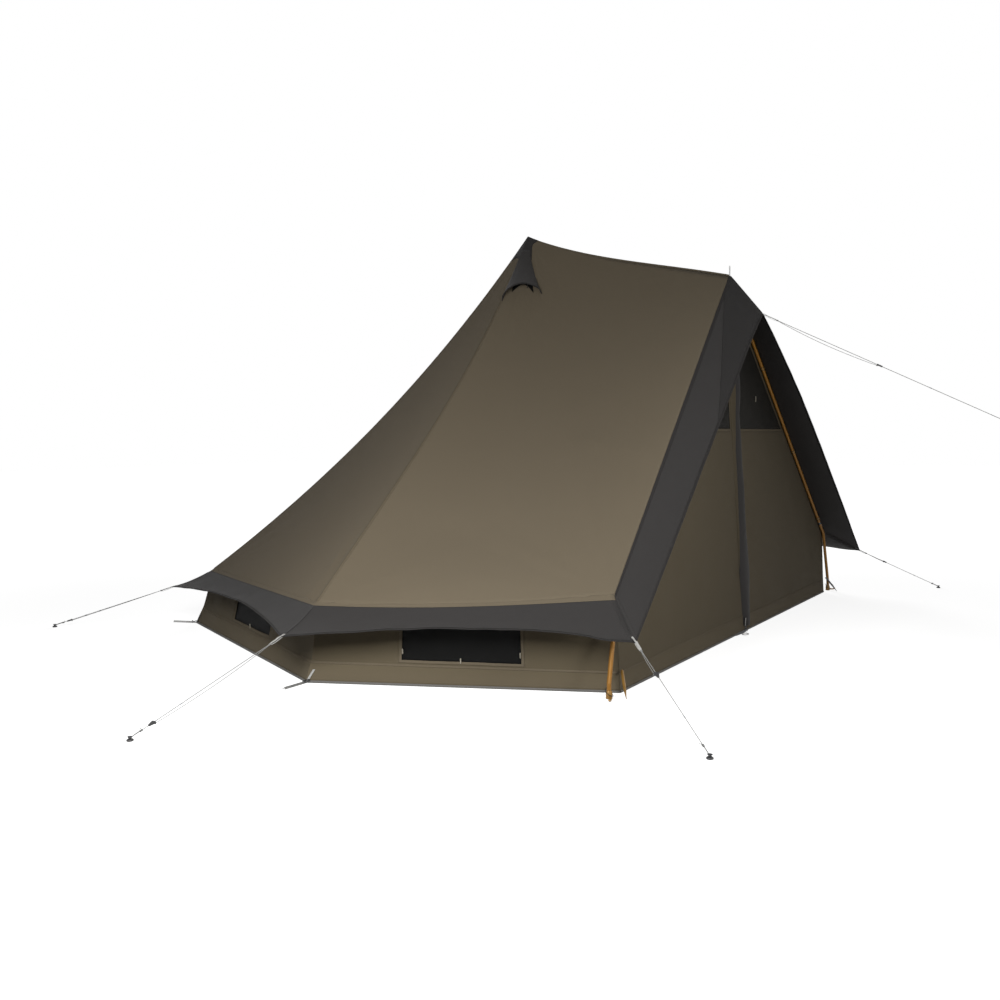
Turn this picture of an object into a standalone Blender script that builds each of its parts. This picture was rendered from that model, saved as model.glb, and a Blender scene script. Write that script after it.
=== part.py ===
"""A six-sided ridge tent with a bent-tube A-frame at its door and a tall pole in its middle.

Metres, +Z up. X is across the tent and Y runs from the door to the rear. The origin is on the ground
under the middle pole, and the door faces -Y. The left side is -X. Points are given for the left half.
"""

import math

import bmesh
import bpy
from mathutils import Matrix, Vector

# The roof's corners
APEX = Vector((0, 0, 2.367))
RIDGE_FRONT = Vector((0, -1.330, 2.000))
FRONT_EAVE = Vector((-1.604, -1.426, 0.425))
MID_EAVE = Vector((-2.100, -0.150, 0.350))
REAR_EAVE = Vector((-1.420, 1.374, 0.320))

# Where the walls stand on the ground
FRONT_GROUND = Vector((-1.579, -1.442, 0))
MID_GROUND = Vector((-2.141, -0.154, 0))
REAR_GROUND = Vector((-1.480, 1.431, 0))

# How far each roof seam sags below the straight line, and how much more it does so near the apex
RIDGE_SAG, RIDGE_SKEW = 0.030, 0.80
CREASE_SAG, CREASE_SKEW = 0.160, 0.70
MID_SAG, MID_SKEW = 0.140, 0.50
REAR_SAG, REAR_SKEW = 0.165, 0.15
SIDE_EAVE_SAG = 0.022
SIDE_EAVE_REACH = 4  # the power of the seam's share by which that sag fades out upward

# Cloth
CLEARANCE = 0.0005
CLOTH = 0.002
ROOF_CLOTH = 0.003  # measured straight down
FLOOR_CLOTH = 0.002
FLOOR_MARGIN = 0.0008

# Places along a roof seam, from the apex at 0 to the eave at 1
TOP_ROWS = (0, 0.012, 0.03, 0.05, 0.07, 0.09, 0.12, 0.155, 0.21)
LOW_ROWS = (0.28, 0.36, 0.45, 0.54, 0.63, 0.72, 0.81, 0.9, 1)
SEAM_ROWS = TOP_ROWS + LOW_ROWS
POLE_HOLE_ROW = 1
CAP_ROW = 3
HOOD_ROW = 7
FRONT_COLUMNS = 4
SIDE_COLUMNS = 6
REAR_COLUMNS = 6

# Vent hoods under the apex
HOOD_LIFT = 0.085
HOOD_OUT = Vector((-0.45, -0.05, 0.89))  # the way its arch stands up from the roof
HOOD_EDGE = 0.03  # as a share of the panel's width
HOOD_START = 0.053  # as a share of the seams, just below the apex cap
HOOD_FLARE = 1.5
HOOD_ROUNDNESS = 0.8
HOOD_SLOPE = 2.0  # a plumb line through the steep cloth there against the cloth's thickness

# Valance: how far its tips stand out from the eave corners, and how deep its scallops are
PORCH_REACH = 0.192
FRONT_TIP = Vector((-0.198, -PORCH_REACH, -0.136))
MID_TIP = Vector((-0.265, -0.050, -0.100))
REAR_TIP = Vector((-0.170, 0.161, -0.094))
SCALLOP = 0.38
VALANCE_COLUMNS = 12
VALANCE_ROWS = 3
VALANCE_SAG = 0.012

# Porch strips in front of the A-frame
PORCH_DROP_TOP = 0.231
PORCH_DROP_MIDDLE = -0.054
PORCH_TUCK = 0.020
PORCH_COLUMNS = 16
PORCH_ROWS = 3

# Front wall and its two door leaves
WALL_LEAN = 0.0665  # metres backward for each metre of height
DOOR_BOTTOM = 0.012
DOOR_TOP = 1.700
HINGE_TOP = 0.040
HINGE_BOTTOM = 1.450
ZIP_GAP = 0.0006
WALL_TOP_INSET = 0.003
WALL_FRONT_INSET = 0.0105

# Wall windows
WINDOW_WIDTH = 0.554
WINDOW_BOTTOM = 0.110
WINDOW_TOP = 0.270
WINDOW_RECESS = 0.001
WINDOW_HEM = 0.004
REAR_WINDOW_WIDTH = 0.90

# Zip slider, which rides on the left leaf's edge
SLIDER_WIDTH = 0.012
SLIDER_DEPTH = 0.006
SLIDER_HEIGHT = 0.024
SLIDER_PLACE = 0.080
PULL_LENGTH = 0.038
PULL_WIDTH = 0.005

# A-frame
TUBE_RADIUS = 0.010
TUBE_DROP = 0.018  # from the seam to the tube's axis
TUBE_BACK = 0.002
KNEE_RADIUS = 0.060
KNEE_STEPS = 8
KNEE_SOCKET = 0.120  # from the knee up to the joint between upper and lower tube
HUB_RADIUS = 0.0115
HUB_ARM = 0.070
SPIKE_RADIUS = 0.0035
SPIKE_ABOVE = 0.051
SPIKE_HOLE = 0.0042
FOOT = Vector((-1.684, -1.441, 0))
BOOT_RADIUS = 0.0145
BOOT_HEIGHT = 0.036
BOOT_TAPER = 0.0108
LEG_STRAIGHT = 0.028

# Centre pole
POLE_RADIUS = 0.014
POLE_TOP_DROP = 0.034
POLE_TIP_RADIUS = 0.004
POLE_TIP_DROP = 0.0095
POLE_BOOT_RADIUS = 0.032
POLE_BOOT_HEIGHT = 0.018

# Guylines
LINE_RADIUS = 0.0015
LINE_CLEARANCE = 0.0008
LINE_END_HEIGHT = 0.011
FRONT_STAKE = Vector((-2.184, -2.085, 0))
MID_STAKE = Vector((-3.131, -0.213, 0))
REAR_STAKE = Vector((-2.017, 2.070, 0))
RIDGE_LINE_REACH = 1.230
RIDGE_LINE_FALL = 0.502  # metres down for each metre forward
RIDGE_LOOP_LENGTH = 0.060
RIDGE_LOOP_WIDTH = 0.026
RIDGE_LOOP_INNER = 0.74  # the eye's inner outline, as a share of the outer one
RIDGE_LOOP_STEPS = 20
TENSIONER_LENGTH = 0.038
TENSIONER_WIDTH = 0.024
TENSIONER_THICKNESS = 0.0085
TENSIONER_NOSE_WIDTH = 0.0105
TENSIONER_SHOULDER = 0.0076  # behind the middle of its length
TENSIONER_BORE_MARGIN = 0.010
FRONT_TENSIONER_SHARE = 0.33
SIDE_TENSIONER_SHARE = 0.88
RIDGE_TENSIONER_SHARE = 0.50

# Stake heads and pegs
HEAD_RADIUS = 0.016
HEAD_RIM = 0.0036
HEAD_HEIGHT = 0.018
NECK_RADIUS = 0.004
NECK_BOTTOM = 0.006
NECK_TOP = 0.0144
CROWN_RADIUS = 0.006
CROWN_HEIGHT = 0.0162
PEG_LENGTH = 0.170
PEG_WIDTH = 0.014
PEG_HEIGHT = 0.010
PEG_WALL = 0.0025
PEG_POINT = 0.060
PEG_TAPER = 0.25
REAR_PEG_WAY = Vector((0.35, -0.94, 0))
FRONT_PEG_WAY = Vector((0.55, 0.42, 0.72))
FRONT_PEG_TIP = Vector((0.024, -0.073, 0))  # from the middle of the foot

SIDES = {"left": 1, "right": -1}

MATERIALS = {
    "canvas": ((0.133, 0.108, 0.074, 1), 0.85, 0.0),
    "charcoal": ((0.052, 0.049, 0.046, 1), 0.80, 0.0),
    "groundsheet": ((0.030, 0.030, 0.032, 1), 0.60, 0.0),
    "amber": ((0.48, 0.24, 0.045, 1), 0.35, 0.9),
    "steel": ((0.42, 0.42, 0.41, 1), 0.35, 1.0),
    "black_plastic": ((0.012, 0.012, 0.013, 1), 0.5, 0.0),
    "cord": ((0.62, 0.62, 0.60, 1), 0.8, 0.0),
}


def clear_scene():
    """Remove whatever the file starts with."""
    for item in list(bpy.data.objects):
        bpy.data.objects.remove(item, do_unlink=True)


def make_materials():
    """One Principled material for each finish."""
    made = {}
    for name, (colour, roughness, metallic) in MATERIALS.items():
        finish = bpy.data.materials.new(name)
        finish.use_nodes = True
        shader = finish.node_tree.nodes["Principled BSDF"]
        shader.inputs["Base Color"].default_value = colour
        shader.inputs["Roughness"].default_value = roughness
        shader.inputs["Metallic"].default_value = metallic
        made[name] = finish
    return made


def flip(point, side):
    """A left-hand point, or its mirror image where side is -1."""
    return Vector((point.x * side, point.y, point.z))


def add(name, mesh, finish, origin=Vector((0, 0, 0)), smooth_angle=None):
    """Add a mesh whose points are in world space, with the object's origin where it is wanted."""
    mesh.transform(Matrix.Translation(-origin))
    if smooth_angle is not None:
        mesh.shade_smooth()
        mesh.set_sharp_from_angle(angle=math.radians(smooth_angle))
    mesh.materials.append(finish)
    item = bpy.data.objects.new(name, mesh)
    item.location = origin
    bpy.context.scene.collection.objects.link(item)
    return item


def mesh_from(name, points, faces):
    """A closed mesh with its faces pointing out."""
    mesh = bpy.data.meshes.new(name)
    mesh.from_pydata([tuple(p) for p in points], [], faces)
    shape = bmesh.new()
    shape.from_mesh(mesh)
    bmesh.ops.recalc_face_normals(shape, faces=shape.faces)
    shape.to_mesh(mesh)
    shape.free()
    return mesh


def cloth(name, outer, inner, finish, origin=Vector((0, 0, 0))):
    """A closed solid between two grids of points, whose cells have the same diagonal on both sides."""
    rows, columns = len(outer), len(outer[0])
    points = [p for row in outer for p in row] + [p for row in inner for p in row]
    back = rows * columns
    faces = []
    for i in range(rows - 1):
        for j in range(columns - 1):
            a = i * columns + j
            b = a + columns
            for corners in ((a, a + 1, b + 1), (a, b + 1, b)):
                faces.append(corners)
                faces.append(tuple(back + corner for corner in reversed(corners)))
    around = list(range(columns))
    around += [i * columns + columns - 1 for i in range(1, rows)]
    around += [(rows - 1) * columns + j for j in range(columns - 2, -1, -1)]
    around += [i * columns for i in range(rows - 2, 0, -1)]
    for a, b in zip(around, around[1:] + around[:1]):
        faces.append((a, back + a, back + b, b))
    return add(name, mesh_from(name, points, faces), finish, origin, smooth_angle=25)


def lowered(grid, depth=ROOF_CLOTH):
    """The same grid, straight below."""
    return [[p - Vector((0, 0, depth)) for p in row] for row in grid]


def thickened(grid, depth):
    """The same left-hand grid, moved in along the cloth's own normals."""
    last_row, last_column = len(grid) - 1, len(grid[0]) - 1
    inner = []
    for i, row in enumerate(grid):
        inner.append([])
        for j, point in enumerate(row):
            along = grid[min(i + 1, last_row)][j] - grid[max(i - 1, 0)][j]
            across = row[min(j + 1, last_column)] - row[max(j - 1, 0)]
            inner[-1].append(point - across.cross(along).normalized() * depth)
    return inner


def prism(name, outline, depth, finish, origin=Vector((0, 0, 0))):
    """A flat outline pushed along depth."""
    count = len(outline)
    points = list(outline) + [p + depth for p in outline]
    faces = [tuple(range(count)), tuple(range(2 * count - 1, count - 1, -1))]
    for a in range(count):
        b = (a + 1) % count
        faces.append((a, count + a, count + b, b))
    return add(name, mesh_from(name, points, faces), finish, origin)


def rod(name, route, radius, finish, resolution=2):
    """A round tube's outside along a route, with closed ends."""
    curve = bpy.data.curves.new(name, "CURVE")
    curve.dimensions = "3D"
    curve.bevel_depth = radius
    curve.bevel_resolution = resolution
    curve.use_fill_caps = True
    spline = curve.splines.new("POLY")
    spline.points.add(len(route) - 1)
    start = route[0].copy()
    for place, point in zip(spline.points, route):
        place.co = (*(point - start), 1)
    curve.materials.append(finish)
    item = bpy.data.objects.new(name, curve)
    item.location = start
    bpy.context.scene.collection.objects.link(item)
    return item


def solid_rod(name, route, radius, finish, resolution=2):
    """The same rod as a mesh, for pieces that are cut or joined."""
    curve = rod(name + "_curve", route, radius, finish, resolution)
    bpy.context.view_layer.update()
    drawn = curve.evaluated_get(bpy.context.evaluated_depsgraph_get())
    mesh = bpy.data.meshes.new_from_object(drawn)
    mesh.name = name
    mesh.materials.clear()
    place = curve.location.copy()
    bpy.data.objects.remove(curve, do_unlink=True)
    shape = bmesh.new()
    shape.from_mesh(mesh)
    bmesh.ops.remove_doubles(shape, verts=shape.verts, dist=0.000001)
    bmesh.ops.recalc_face_normals(shape, faces=shape.faces)
    shape.to_mesh(mesh)
    shape.free()
    mesh.transform(Matrix.Translation(place))
    return add(name, mesh, finish, place, smooth_angle=35)


def turned(name, profile, place, finish, steps=24):
    """An upright solid of revolution from (radius, height) pairs whose first and last radius are 0."""
    points = [place + Vector((0, 0, profile[0][1]))]
    for radius, height in profile[1:-1]:
        for k in range(steps):
            angle = 2 * math.pi * k / steps
            local = Vector((radius * math.cos(angle), radius * math.sin(angle), height))
            points.append(place + local)
    points.append(place + Vector((0, 0, profile[-1][1])))
    last = len(points) - 1
    faces = []
    for k in range(steps):
        after = (k + 1) % steps
        faces.append((0, 1 + after, 1 + k))
        for ring in range(len(profile) - 3):
            low = 1 + ring * steps
            faces.append((low + k, low + after, low + steps + after, low + steps + k))
        top = 1 + (len(profile) - 3) * steps
        faces.append((top + k, top + after, last))
    return add(name, mesh_from(name, points, faces), finish, place.copy(), smooth_angle=35)


def cut(item, cutter):
    """Take a guide shape out of a piece."""
    change = item.modifiers.new("Cut", "BOOLEAN")
    change.operation = "DIFFERENCE"
    change.object = cutter
    cutter.hide_render = True
    cutter.display_type = "WIRE"


# Seams and panels


SEAMS = {
    "ridge": (RIDGE_FRONT, RIDGE_SAG, RIDGE_SKEW),
    "crease": (FRONT_EAVE, CREASE_SAG, CREASE_SKEW),
    "mid": (MID_EAVE, MID_SAG, MID_SKEW),
    "rear": (REAR_EAVE, REAR_SAG, REAR_SKEW),
}


def seam_point(seam, share):
    """A point on a left-hand seam's curve, from the apex at 0 to its lower end at 1."""
    end, sag, skew = SEAMS[seam]
    point = APEX.lerp(end, share)
    point.z -= sag * 4 * share * (1 - share) * (1 + skew * (1 - 2 * share))
    return point


def seam(name, share):
    """A point on a left-hand seam as it is sewn, in straight runs between the rows."""
    for low, high in zip(SEAM_ROWS, SEAM_ROWS[1:]):
        if share <= high:
            part = (share - low) / (high - low)
            return seam_point(name, low).lerp(seam_point(name, high), part)
    return seam_point(name, 1)


def eave_sag(across, share=1):
    """How far the side panel hangs between its crease and its middle seam, in straight runs."""
    column = min(int(across * SIDE_COLUMNS), SIDE_COLUMNS - 1)
    low, high = (4 * k / SIDE_COLUMNS * (1 - k / SIDE_COLUMNS) for k in (column, column + 1))
    hang = low + (high - low) * (across * SIDE_COLUMNS - column)
    return SIDE_EAVE_SAG * share**SIDE_EAVE_REACH * hang


def panel(first, second, share, across, inset=(0, 0)):
    """A point on the panel between two seams, kept clear of each seam by its inset."""
    a, b = seam(first, share), seam(second, share)
    way = Vector((b.x - a.x, b.y - a.y, 0))
    if way.length > 0:
        way.normalize()
    a = a + way * inset[0]
    b = b - way * inset[1]
    point = a.lerp(b, across)
    if first == "crease":
        point.z -= eave_sag(across, share)
    return point


def roof_side(side, finish):
    """The big side panel: a front triangle down to the A-frame, and a side triangle down to the eave."""
    half = CLEARANCE / 2
    rows = []
    for share in SEAM_ROWS[POLE_HOLE_ROW:]:
        row = [panel("ridge", "crease", share, k / FRONT_COLUMNS) for k in range(FRONT_COLUMNS)]
        row += [
            panel("crease", "mid", share, k / SIDE_COLUMNS, (0, CLEARANCE))
            for k in range(SIDE_COLUMNS + 1)
        ]
        row[0] = Vector((-half, row[0].y, row[0].z))
        rows.append([flip(p, side) for p in row])
    name = "roof_left" if side == 1 else "roof_right"
    return cloth(name, rows, lowered(rows), finish)


def roof_rear_side(side, finish):
    """The panel between the middle hip and the rear hip."""
    rows = [
        [
            flip(panel("mid", "rear", share, k / REAR_COLUMNS, (CLEARANCE, CLEARANCE)), side)
            for k in range(REAR_COLUMNS + 1)
        ]
        for share in SEAM_ROWS[POLE_HOLE_ROW:]
    ]
    name = "roof_rear_left" if side == 1 else "roof_rear_right"
    return cloth(name, rows, lowered(rows), finish)


def roof_rear(finish):
    """The rear panel, between the two rear hips."""
    rows = []
    for share in SEAM_ROWS[POLE_HOLE_ROW:]:
        left = seam("rear", share) + Vector((CLEARANCE, 0, 0))
        right = flip(left, -1)
        rows.append([left.lerp(right, k / REAR_COLUMNS) for k in range(REAR_COLUMNS + 1)])
    return cloth("roof_rear", rows, lowered(rows), finish)


def apex_cap(finish):
    """The sewn reinforcement that covers the apex, one row above the roof panels."""
    order = [("ridge", 1), ("crease", 1), ("mid", 1), ("rear", 1)]
    order += [(name, -1) for name, _ in reversed(order[1:])]
    low, high = Vector((0, 0, CLEARANCE)), Vector((0, 0, CLEARANCE + CLOTH))
    points = [APEX + low, APEX + high]
    for share in SEAM_ROWS[1 : CAP_ROW + 1]:
        for name, side in order:
            points.append(flip(seam(name, share), side) + low)
            points.append(flip(seam(name, share), side) + high)
    count = len(order)
    faces = []
    for k in range(count):
        after = (k + 1) % count
        for layer in (0, 1):
            faces.append((layer, 2 + 2 * k + layer, 2 + 2 * after + layer))
            for ring in range(CAP_ROW - 1):
                a, b = 2 + 2 * (ring * count + k) + layer, 2 + 2 * (ring * count + after) + layer
                faces.append((a, a + 2 * count, b + 2 * count, b))
        a, b = 2 + 2 * ((CAP_ROW - 1) * count + k), 2 + 2 * ((CAP_ROW - 1) * count + after)
        faces.append((a, b, b + 1, a + 1))
    return add("apex_cap", mesh_from("apex_cap", points, faces), finish)


def vent_hood(side, finish):
    """A hood over the vent: sewn along both edges, with its lower edge lifted in an arch."""
    end = SEAM_ROWS[HOOD_ROW]
    rows = []
    for share in [HOOD_START] + list(SEAM_ROWS[CAP_ROW + 1 : HOOD_ROW + 1]):
        row = []
        opened = ((share - HOOD_START) / (end - HOOD_START)) ** HOOD_FLARE
        for k in range(SIDE_COLUMNS + 1):
            across = HOOD_EDGE + (1 - 2 * HOOD_EDGE) * k / SIDE_COLUMNS
            arch = math.sin(math.pi * k / SIDE_COLUMNS) ** HOOD_ROUNDNESS
            point = panel("crease", "mid", share, across) + HOOD_OUT * HOOD_LIFT * opened * arch
            row.append(point + Vector((0, 0, HOOD_SLOPE * (CLOTH + CLEARANCE))))
        rows.append(row)
    outer = [[flip(p, side) for p in row] for row in rows]
    inner = [[flip(p, side) for p in row] for row in thickened(rows, CLOTH)]
    name = "vent_hood_left" if side == 1 else "vent_hood_right"
    return cloth(name, outer, inner, finish)


# Valance and porch


def scallop(corner_a, tip_a, corner_b, tip_b, share, sag=0):
    """The eave point and the valance's edge point at a share of the way between two corners."""
    eave = corner_a.lerp(corner_b, share) - Vector((0, 0, sag))
    reach = tip_a.lerp(tip_b, share) * (1 - SCALLOP * 4 * share * (1 - share))
    return eave, eave + reach


def valance_rows(lines):
    """The rows of a hanging strip from its (eave, edge) pairs, bellied a little."""
    rows = []
    for r in range(VALANCE_ROWS + 1):
        part = r / VALANCE_ROWS
        sag = Vector((0, 0, -VALANCE_SAG * 4 * part * (1 - part)))
        rows.append([eave.lerp(edge, part) + sag for eave, edge in lines])
    return rows


def outward(point, amount):
    """A left-hand eave point moved straight away from the tent's middle."""
    away = Vector((point.x - APEX.x, point.y - APEX.y, 0)).normalized()
    return point + away * amount


def valance_side(side, finish):
    """The dark strip that hangs out from the side eave and round to the rear corner."""
    lines = []
    shares = [k / VALANCE_COLUMNS for k in range(VALANCE_COLUMNS + 1)]
    for share in shares[:-1]:
        lines.append(scallop(FRONT_EAVE, FRONT_TIP, MID_EAVE, MID_TIP, share, eave_sag(share)))
    for share in shares:
        lines.append(scallop(MID_EAVE, MID_TIP, REAR_EAVE, REAR_TIP, share))
    lines = [(outward(eave, CLEARANCE), edge) for eave, edge in lines]
    along = (MID_EAVE - FRONT_EAVE).normalized() * CLEARANCE
    lines[0] = (lines[0][0] + along, lines[0][1] + along)
    back = (MID_EAVE - REAR_EAVE).normalized() * CLEARANCE
    lines[-1] = (lines[-1][0] + back, lines[-1][1] + back)
    rows = [[flip(p, side) for p in row] for row in valance_rows(lines)]
    name = "valance_left" if side == 1 else "valance_right"
    return cloth(name, rows, lowered(rows), finish)


def valance_rear(finish):
    """The dark strip along the rear eave."""
    right_eave, right_tip = flip(REAR_EAVE, -1), flip(REAR_TIP, -1)
    lines = []
    for k in range(VALANCE_COLUMNS + 1):
        eave, edge = scallop(REAR_EAVE, REAR_TIP, right_eave, right_tip, k / VALANCE_COLUMNS)
        lines.append((eave + Vector((0, CLEARANCE, 0)), edge))
    along = Vector((CLEARANCE, 0, 0))
    lines[0] = (lines[0][0] + along, lines[0][1] + along)
    lines[-1] = (lines[-1][0] - along, lines[-1][1] - along)
    rows = valance_rows(lines)
    return cloth("valance_rear", rows, lowered(rows), finish)


def porch_edge(share):
    """From the A-frame seam to the porch strip's front edge, with the foot at 0 and the top at 1."""
    low = 1 - share
    drop = -FRONT_TIP.z * low * low
    drop += 2 * PORCH_DROP_MIDDLE * low * share
    drop += PORCH_DROP_TOP * share * share
    tuck = PORCH_TUCK * 4 * low * share
    return Vector((FRONT_TIP.x * low**3 + tuck, -PORCH_REACH, -drop))


def porch(side, finish):
    """The dark strip that runs forward from the A-frame seam."""
    lines = []
    for k in range(PORCH_COLUMNS + 1):
        share = k / PORCH_COLUMNS
        place = FRONT_EAVE.lerp(RIDGE_FRONT, share)
        edge = place + porch_edge(share)
        lines.append((place + Vector((0, -CLEARANCE, 0)), edge))
    along = (RIDGE_FRONT - FRONT_EAVE).normalized() * CLEARANCE
    lines[0] = (lines[0][0] + along, lines[0][1] + along)
    half = CLEARANCE / 2
    lines[-1] = tuple(Vector((-half, p.y, p.z)) for p in lines[-1])
    rows = [
        [flip(a.lerp(b, r / PORCH_ROWS), side) for a, b in lines] for r in range(PORCH_ROWS + 1)
    ]
    name = "porch_left" if side == 1 else "porch_right"
    return cloth(name, rows, lowered(rows), finish)


# Walls and floor


def wall_corners():
    """The low walls' line on the ground, all the way round from behind the front wall's left end."""
    behind = Vector((0, CLOTH + CLEARANCE, 0))
    left = [FRONT_GROUND + behind, MID_GROUND, REAR_GROUND]
    return left + [flip(p, -1) for p in reversed(left)]


def mitres(corners):
    """For each corner, the plan vector to the inside that keeps one unit of thickness on both walls."""
    found = []
    for before, here, after in zip(corners[-1:] + corners[:-1], corners, corners[1:] + corners[:1]):
        a, b = (here - before).normalized(), (after - here).normalized()
        normals = Vector((a.y, -a.x, 0)), Vector((b.y, -b.x, 0))
        middle = (normals[0] + normals[1]).normalized()
        found.append(middle / middle.dot(normals[0]))
    return found


def wall_top(first, second, across, inset):
    """A point of a wall's top edge, just under the roof panel."""
    point = panel(first, second, 1 - inset, across)
    return point - Vector((0, 0, ROOF_CLOTH + CLEARANCE))


def wall(name, low, top, mitre, window, finish):
    """A low wall from its ground line and its top line, with a shallow recess for its window."""
    length = (low[1] - low[0]).length
    along = (low[1] - low[0]).normalized() * CLEARANCE
    start, end = 0.5 - window / length / 2, 0.5 + window / length / 2
    step = WINDOW_HEM / length
    roof_columns = {k / SIDE_COLUMNS for k in range(SIDE_COLUMNS + 1)}
    columns = sorted(roof_columns | {start - step, start, end, end + step})
    outer = []
    inner = []
    window_rows = (WINDOW_BOTTOM, WINDOW_TOP)
    heights = (0, WINDOW_BOTTOM - WINDOW_HEM, *window_rows, WINDOW_TOP + WINDOW_HEM, None)
    for height in heights:
        outer.append([])
        inner.append([])
        for part in columns:
            slide = along * (1 - 2 * part)
            inside = mitre[0].lerp(mitre[1], part) * CLOTH
            foot, head = low[0].lerp(low[1], part) + slide, top(part) + slide
            point = head if height is None else foot.lerp(head, height / head.z)
            in_window = height in window_rows and start <= part <= end
            outer[-1].append(point + inside * (WINDOW_RECESS / CLOTH if in_window else 0))
            inner[-1].append(point + inside)
    return cloth(name, outer, inner, finish)


def walls(finish):
    """The five low walls behind the door wall."""
    corners = wall_corners()
    turns = mitres(corners)

    rear_line = (REAR_GROUND, flip(REAR_GROUND, -1))
    for label, side in SIDES.items():
        front, middle, rear = (flip(p, side) for p in corners[:3])
        mitre = [flip(t, side) for t in turns[:3]]
        square = Vector((mitre[1].x, 0, 0))

        def side_top(part):
            inset = WALL_FRONT_INSET + (WALL_TOP_INSET - WALL_FRONT_INSET) * part
            return flip(wall_top("crease", "mid", part, inset), side)

        def rear_side_top(part):
            return flip(wall_top("mid", "rear", part, WALL_TOP_INSET), side)

        wall("wall_" + label, (front, middle), side_top, [square, mitre[1]], WINDOW_WIDTH, finish)
        wall("wall_rear_" + label, (middle, rear), rear_side_top, mitre[1:], WINDOW_WIDTH, finish)

    def rear_top(part):
        left = seam("rear", 1 - WALL_TOP_INSET) - Vector((0, 0, ROOF_CLOTH + CLEARANCE))
        return left.lerp(flip(left, -1), part)

    wall("wall_rear", rear_line, rear_top, turns[2:4], REAR_WINDOW_WIDTH, finish)


def groundsheet(finish):
    """The floor, inside the walls."""
    corners = wall_corners()
    inside = [c + t * (CLOTH + FLOOR_MARGIN) for c, t in zip(corners, mitres(corners))]
    return prism("groundsheet", inside, Vector((0, 0, FLOOR_CLOTH)), finish)


# Front wall


def on_front_wall(x, z):
    """A point of the front wall's outer face."""
    return Vector((x, FRONT_GROUND.y + WALL_LEAN * z, z))


def under_roof(across):
    """Where the front wall's outer face meets the underside of the roof, from the ridge to the corner."""
    low, high = 0.9, 1.0
    for _ in range(40):
        share = (low + high) / 2
        point = panel("ridge", "crease", share, across)
        if point.y > FRONT_GROUND.y + WALL_LEAN * point.z:
            low = share
        else:
            high = share
    point = panel("ridge", "crease", share, across)
    return on_front_wall(point.x, point.z - ROOF_CLOTH - 2 * CLEARANCE)


def hinge_line():
    """The top and bottom of the left-hand leaf's hinge line, on the wall's outer face."""
    return on_front_wall(-HINGE_TOP, DOOR_TOP), on_front_wall(-HINGE_BOTTOM, DOOR_BOTTOM)


def front_wall(finish):
    """The fixed cloth round the two door leaves."""
    steps = 6
    slope = [under_roof(k / steps) for k in range(steps, -1, -1)]
    top, bottom = hinge_line()
    gap = Vector((-CLEARANCE, 0, 0))
    opening_top = top + gap + Vector((0, 0, CLEARANCE))
    left = [FRONT_GROUND] + slope[:-1]
    right = [flip(p, -1) for p in reversed(left)]
    foot = bottom + gap
    foot = foot + (foot - opening_top) * (foot.z / (opening_top.z - foot.z))
    inner = [flip(foot, -1), flip(opening_top, -1), opening_top, foot]
    outline = left + [slope[-1]] + right + inner
    return prism("front_wall", outline, Vector((0, CLOTH, 0)), finish)


def door(side, finish):
    """One door leaf: a triangle from the zip to its slanted hinge line."""
    top, bottom = hinge_line()
    zip_side = ZIP_GAP / 2
    outline = [
        on_front_wall(-zip_side, DOOR_BOTTOM),
        on_front_wall(-zip_side, DOOR_TOP),
        top,
        bottom,
    ]
    outline = [flip(p, side) for p in outline]
    name = "door_left" if side == 1 else "door_right"
    return prism(name, outline, Vector((0, CLOTH, 0)), finish, origin=flip(bottom, side))


def zip_slider(finish):
    """The slider on the zip, with its pull hanging in front."""
    middle = -ZIP_GAP / 2 - SLIDER_WIDTH / 2
    half, pull = SLIDER_WIDTH / 2, PULL_WIDTH / 2
    low, high = SLIDER_PLACE - SLIDER_HEIGHT / 2, SLIDER_PLACE + SLIDER_HEIGHT / 2
    shoulder = low + SLIDER_HEIGHT / 4
    sketch = [
        (-half, shoulder),
        (-pull, low),
        (-pull, low - PULL_LENGTH),
        (pull, low - PULL_LENGTH),
        (pull, low),
        (half, shoulder),
        (half, high),
        (-half, high),
    ]
    body = [on_front_wall(middle + x, z) - Vector((0, CLEARANCE, 0)) for x, z in sketch]
    place = on_front_wall(middle, SLIDER_PLACE)
    return prism("zip_slider", body, Vector((0, -SLIDER_DEPTH, 0)), finish, origin=place)


# Frame


def tube_line():
    """The left-hand tube axis under the A-frame seam: its meeting point at the ridge, and the knee."""
    run = FRONT_EAVE - RIDGE_FRONT
    slope = Vector((run.x, 0, run.z)).normalized()
    inward = Vector((-slope.z, 0, slope.x))
    knee = Vector((FRONT_EAVE.x, FRONT_EAVE.y - 2 * TUBE_BACK, FRONT_EAVE.z)) + inward * TUBE_DROP
    head = Vector((RIDGE_FRONT.x, RIDGE_FRONT.y + TUBE_BACK, RIDGE_FRONT.z)) + inward * TUBE_DROP
    top = head - (head - knee) * (head.x / (head.x - knee.x))
    return top, knee


def upper_tube(side, finish):
    """The straight upper tube, from the ridge hub to the joint above the knee."""
    top, knee = tube_line()
    way = (knee - top).normalized()
    start = top + way * (HUB_ARM + CLEARANCE)
    end = knee - way * KNEE_SOCKET
    name = "pole_left" if side == 1 else "pole_right"
    return rod(name, [flip(start, side), flip(end, side)], TUBE_RADIUS, finish, 4)


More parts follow.
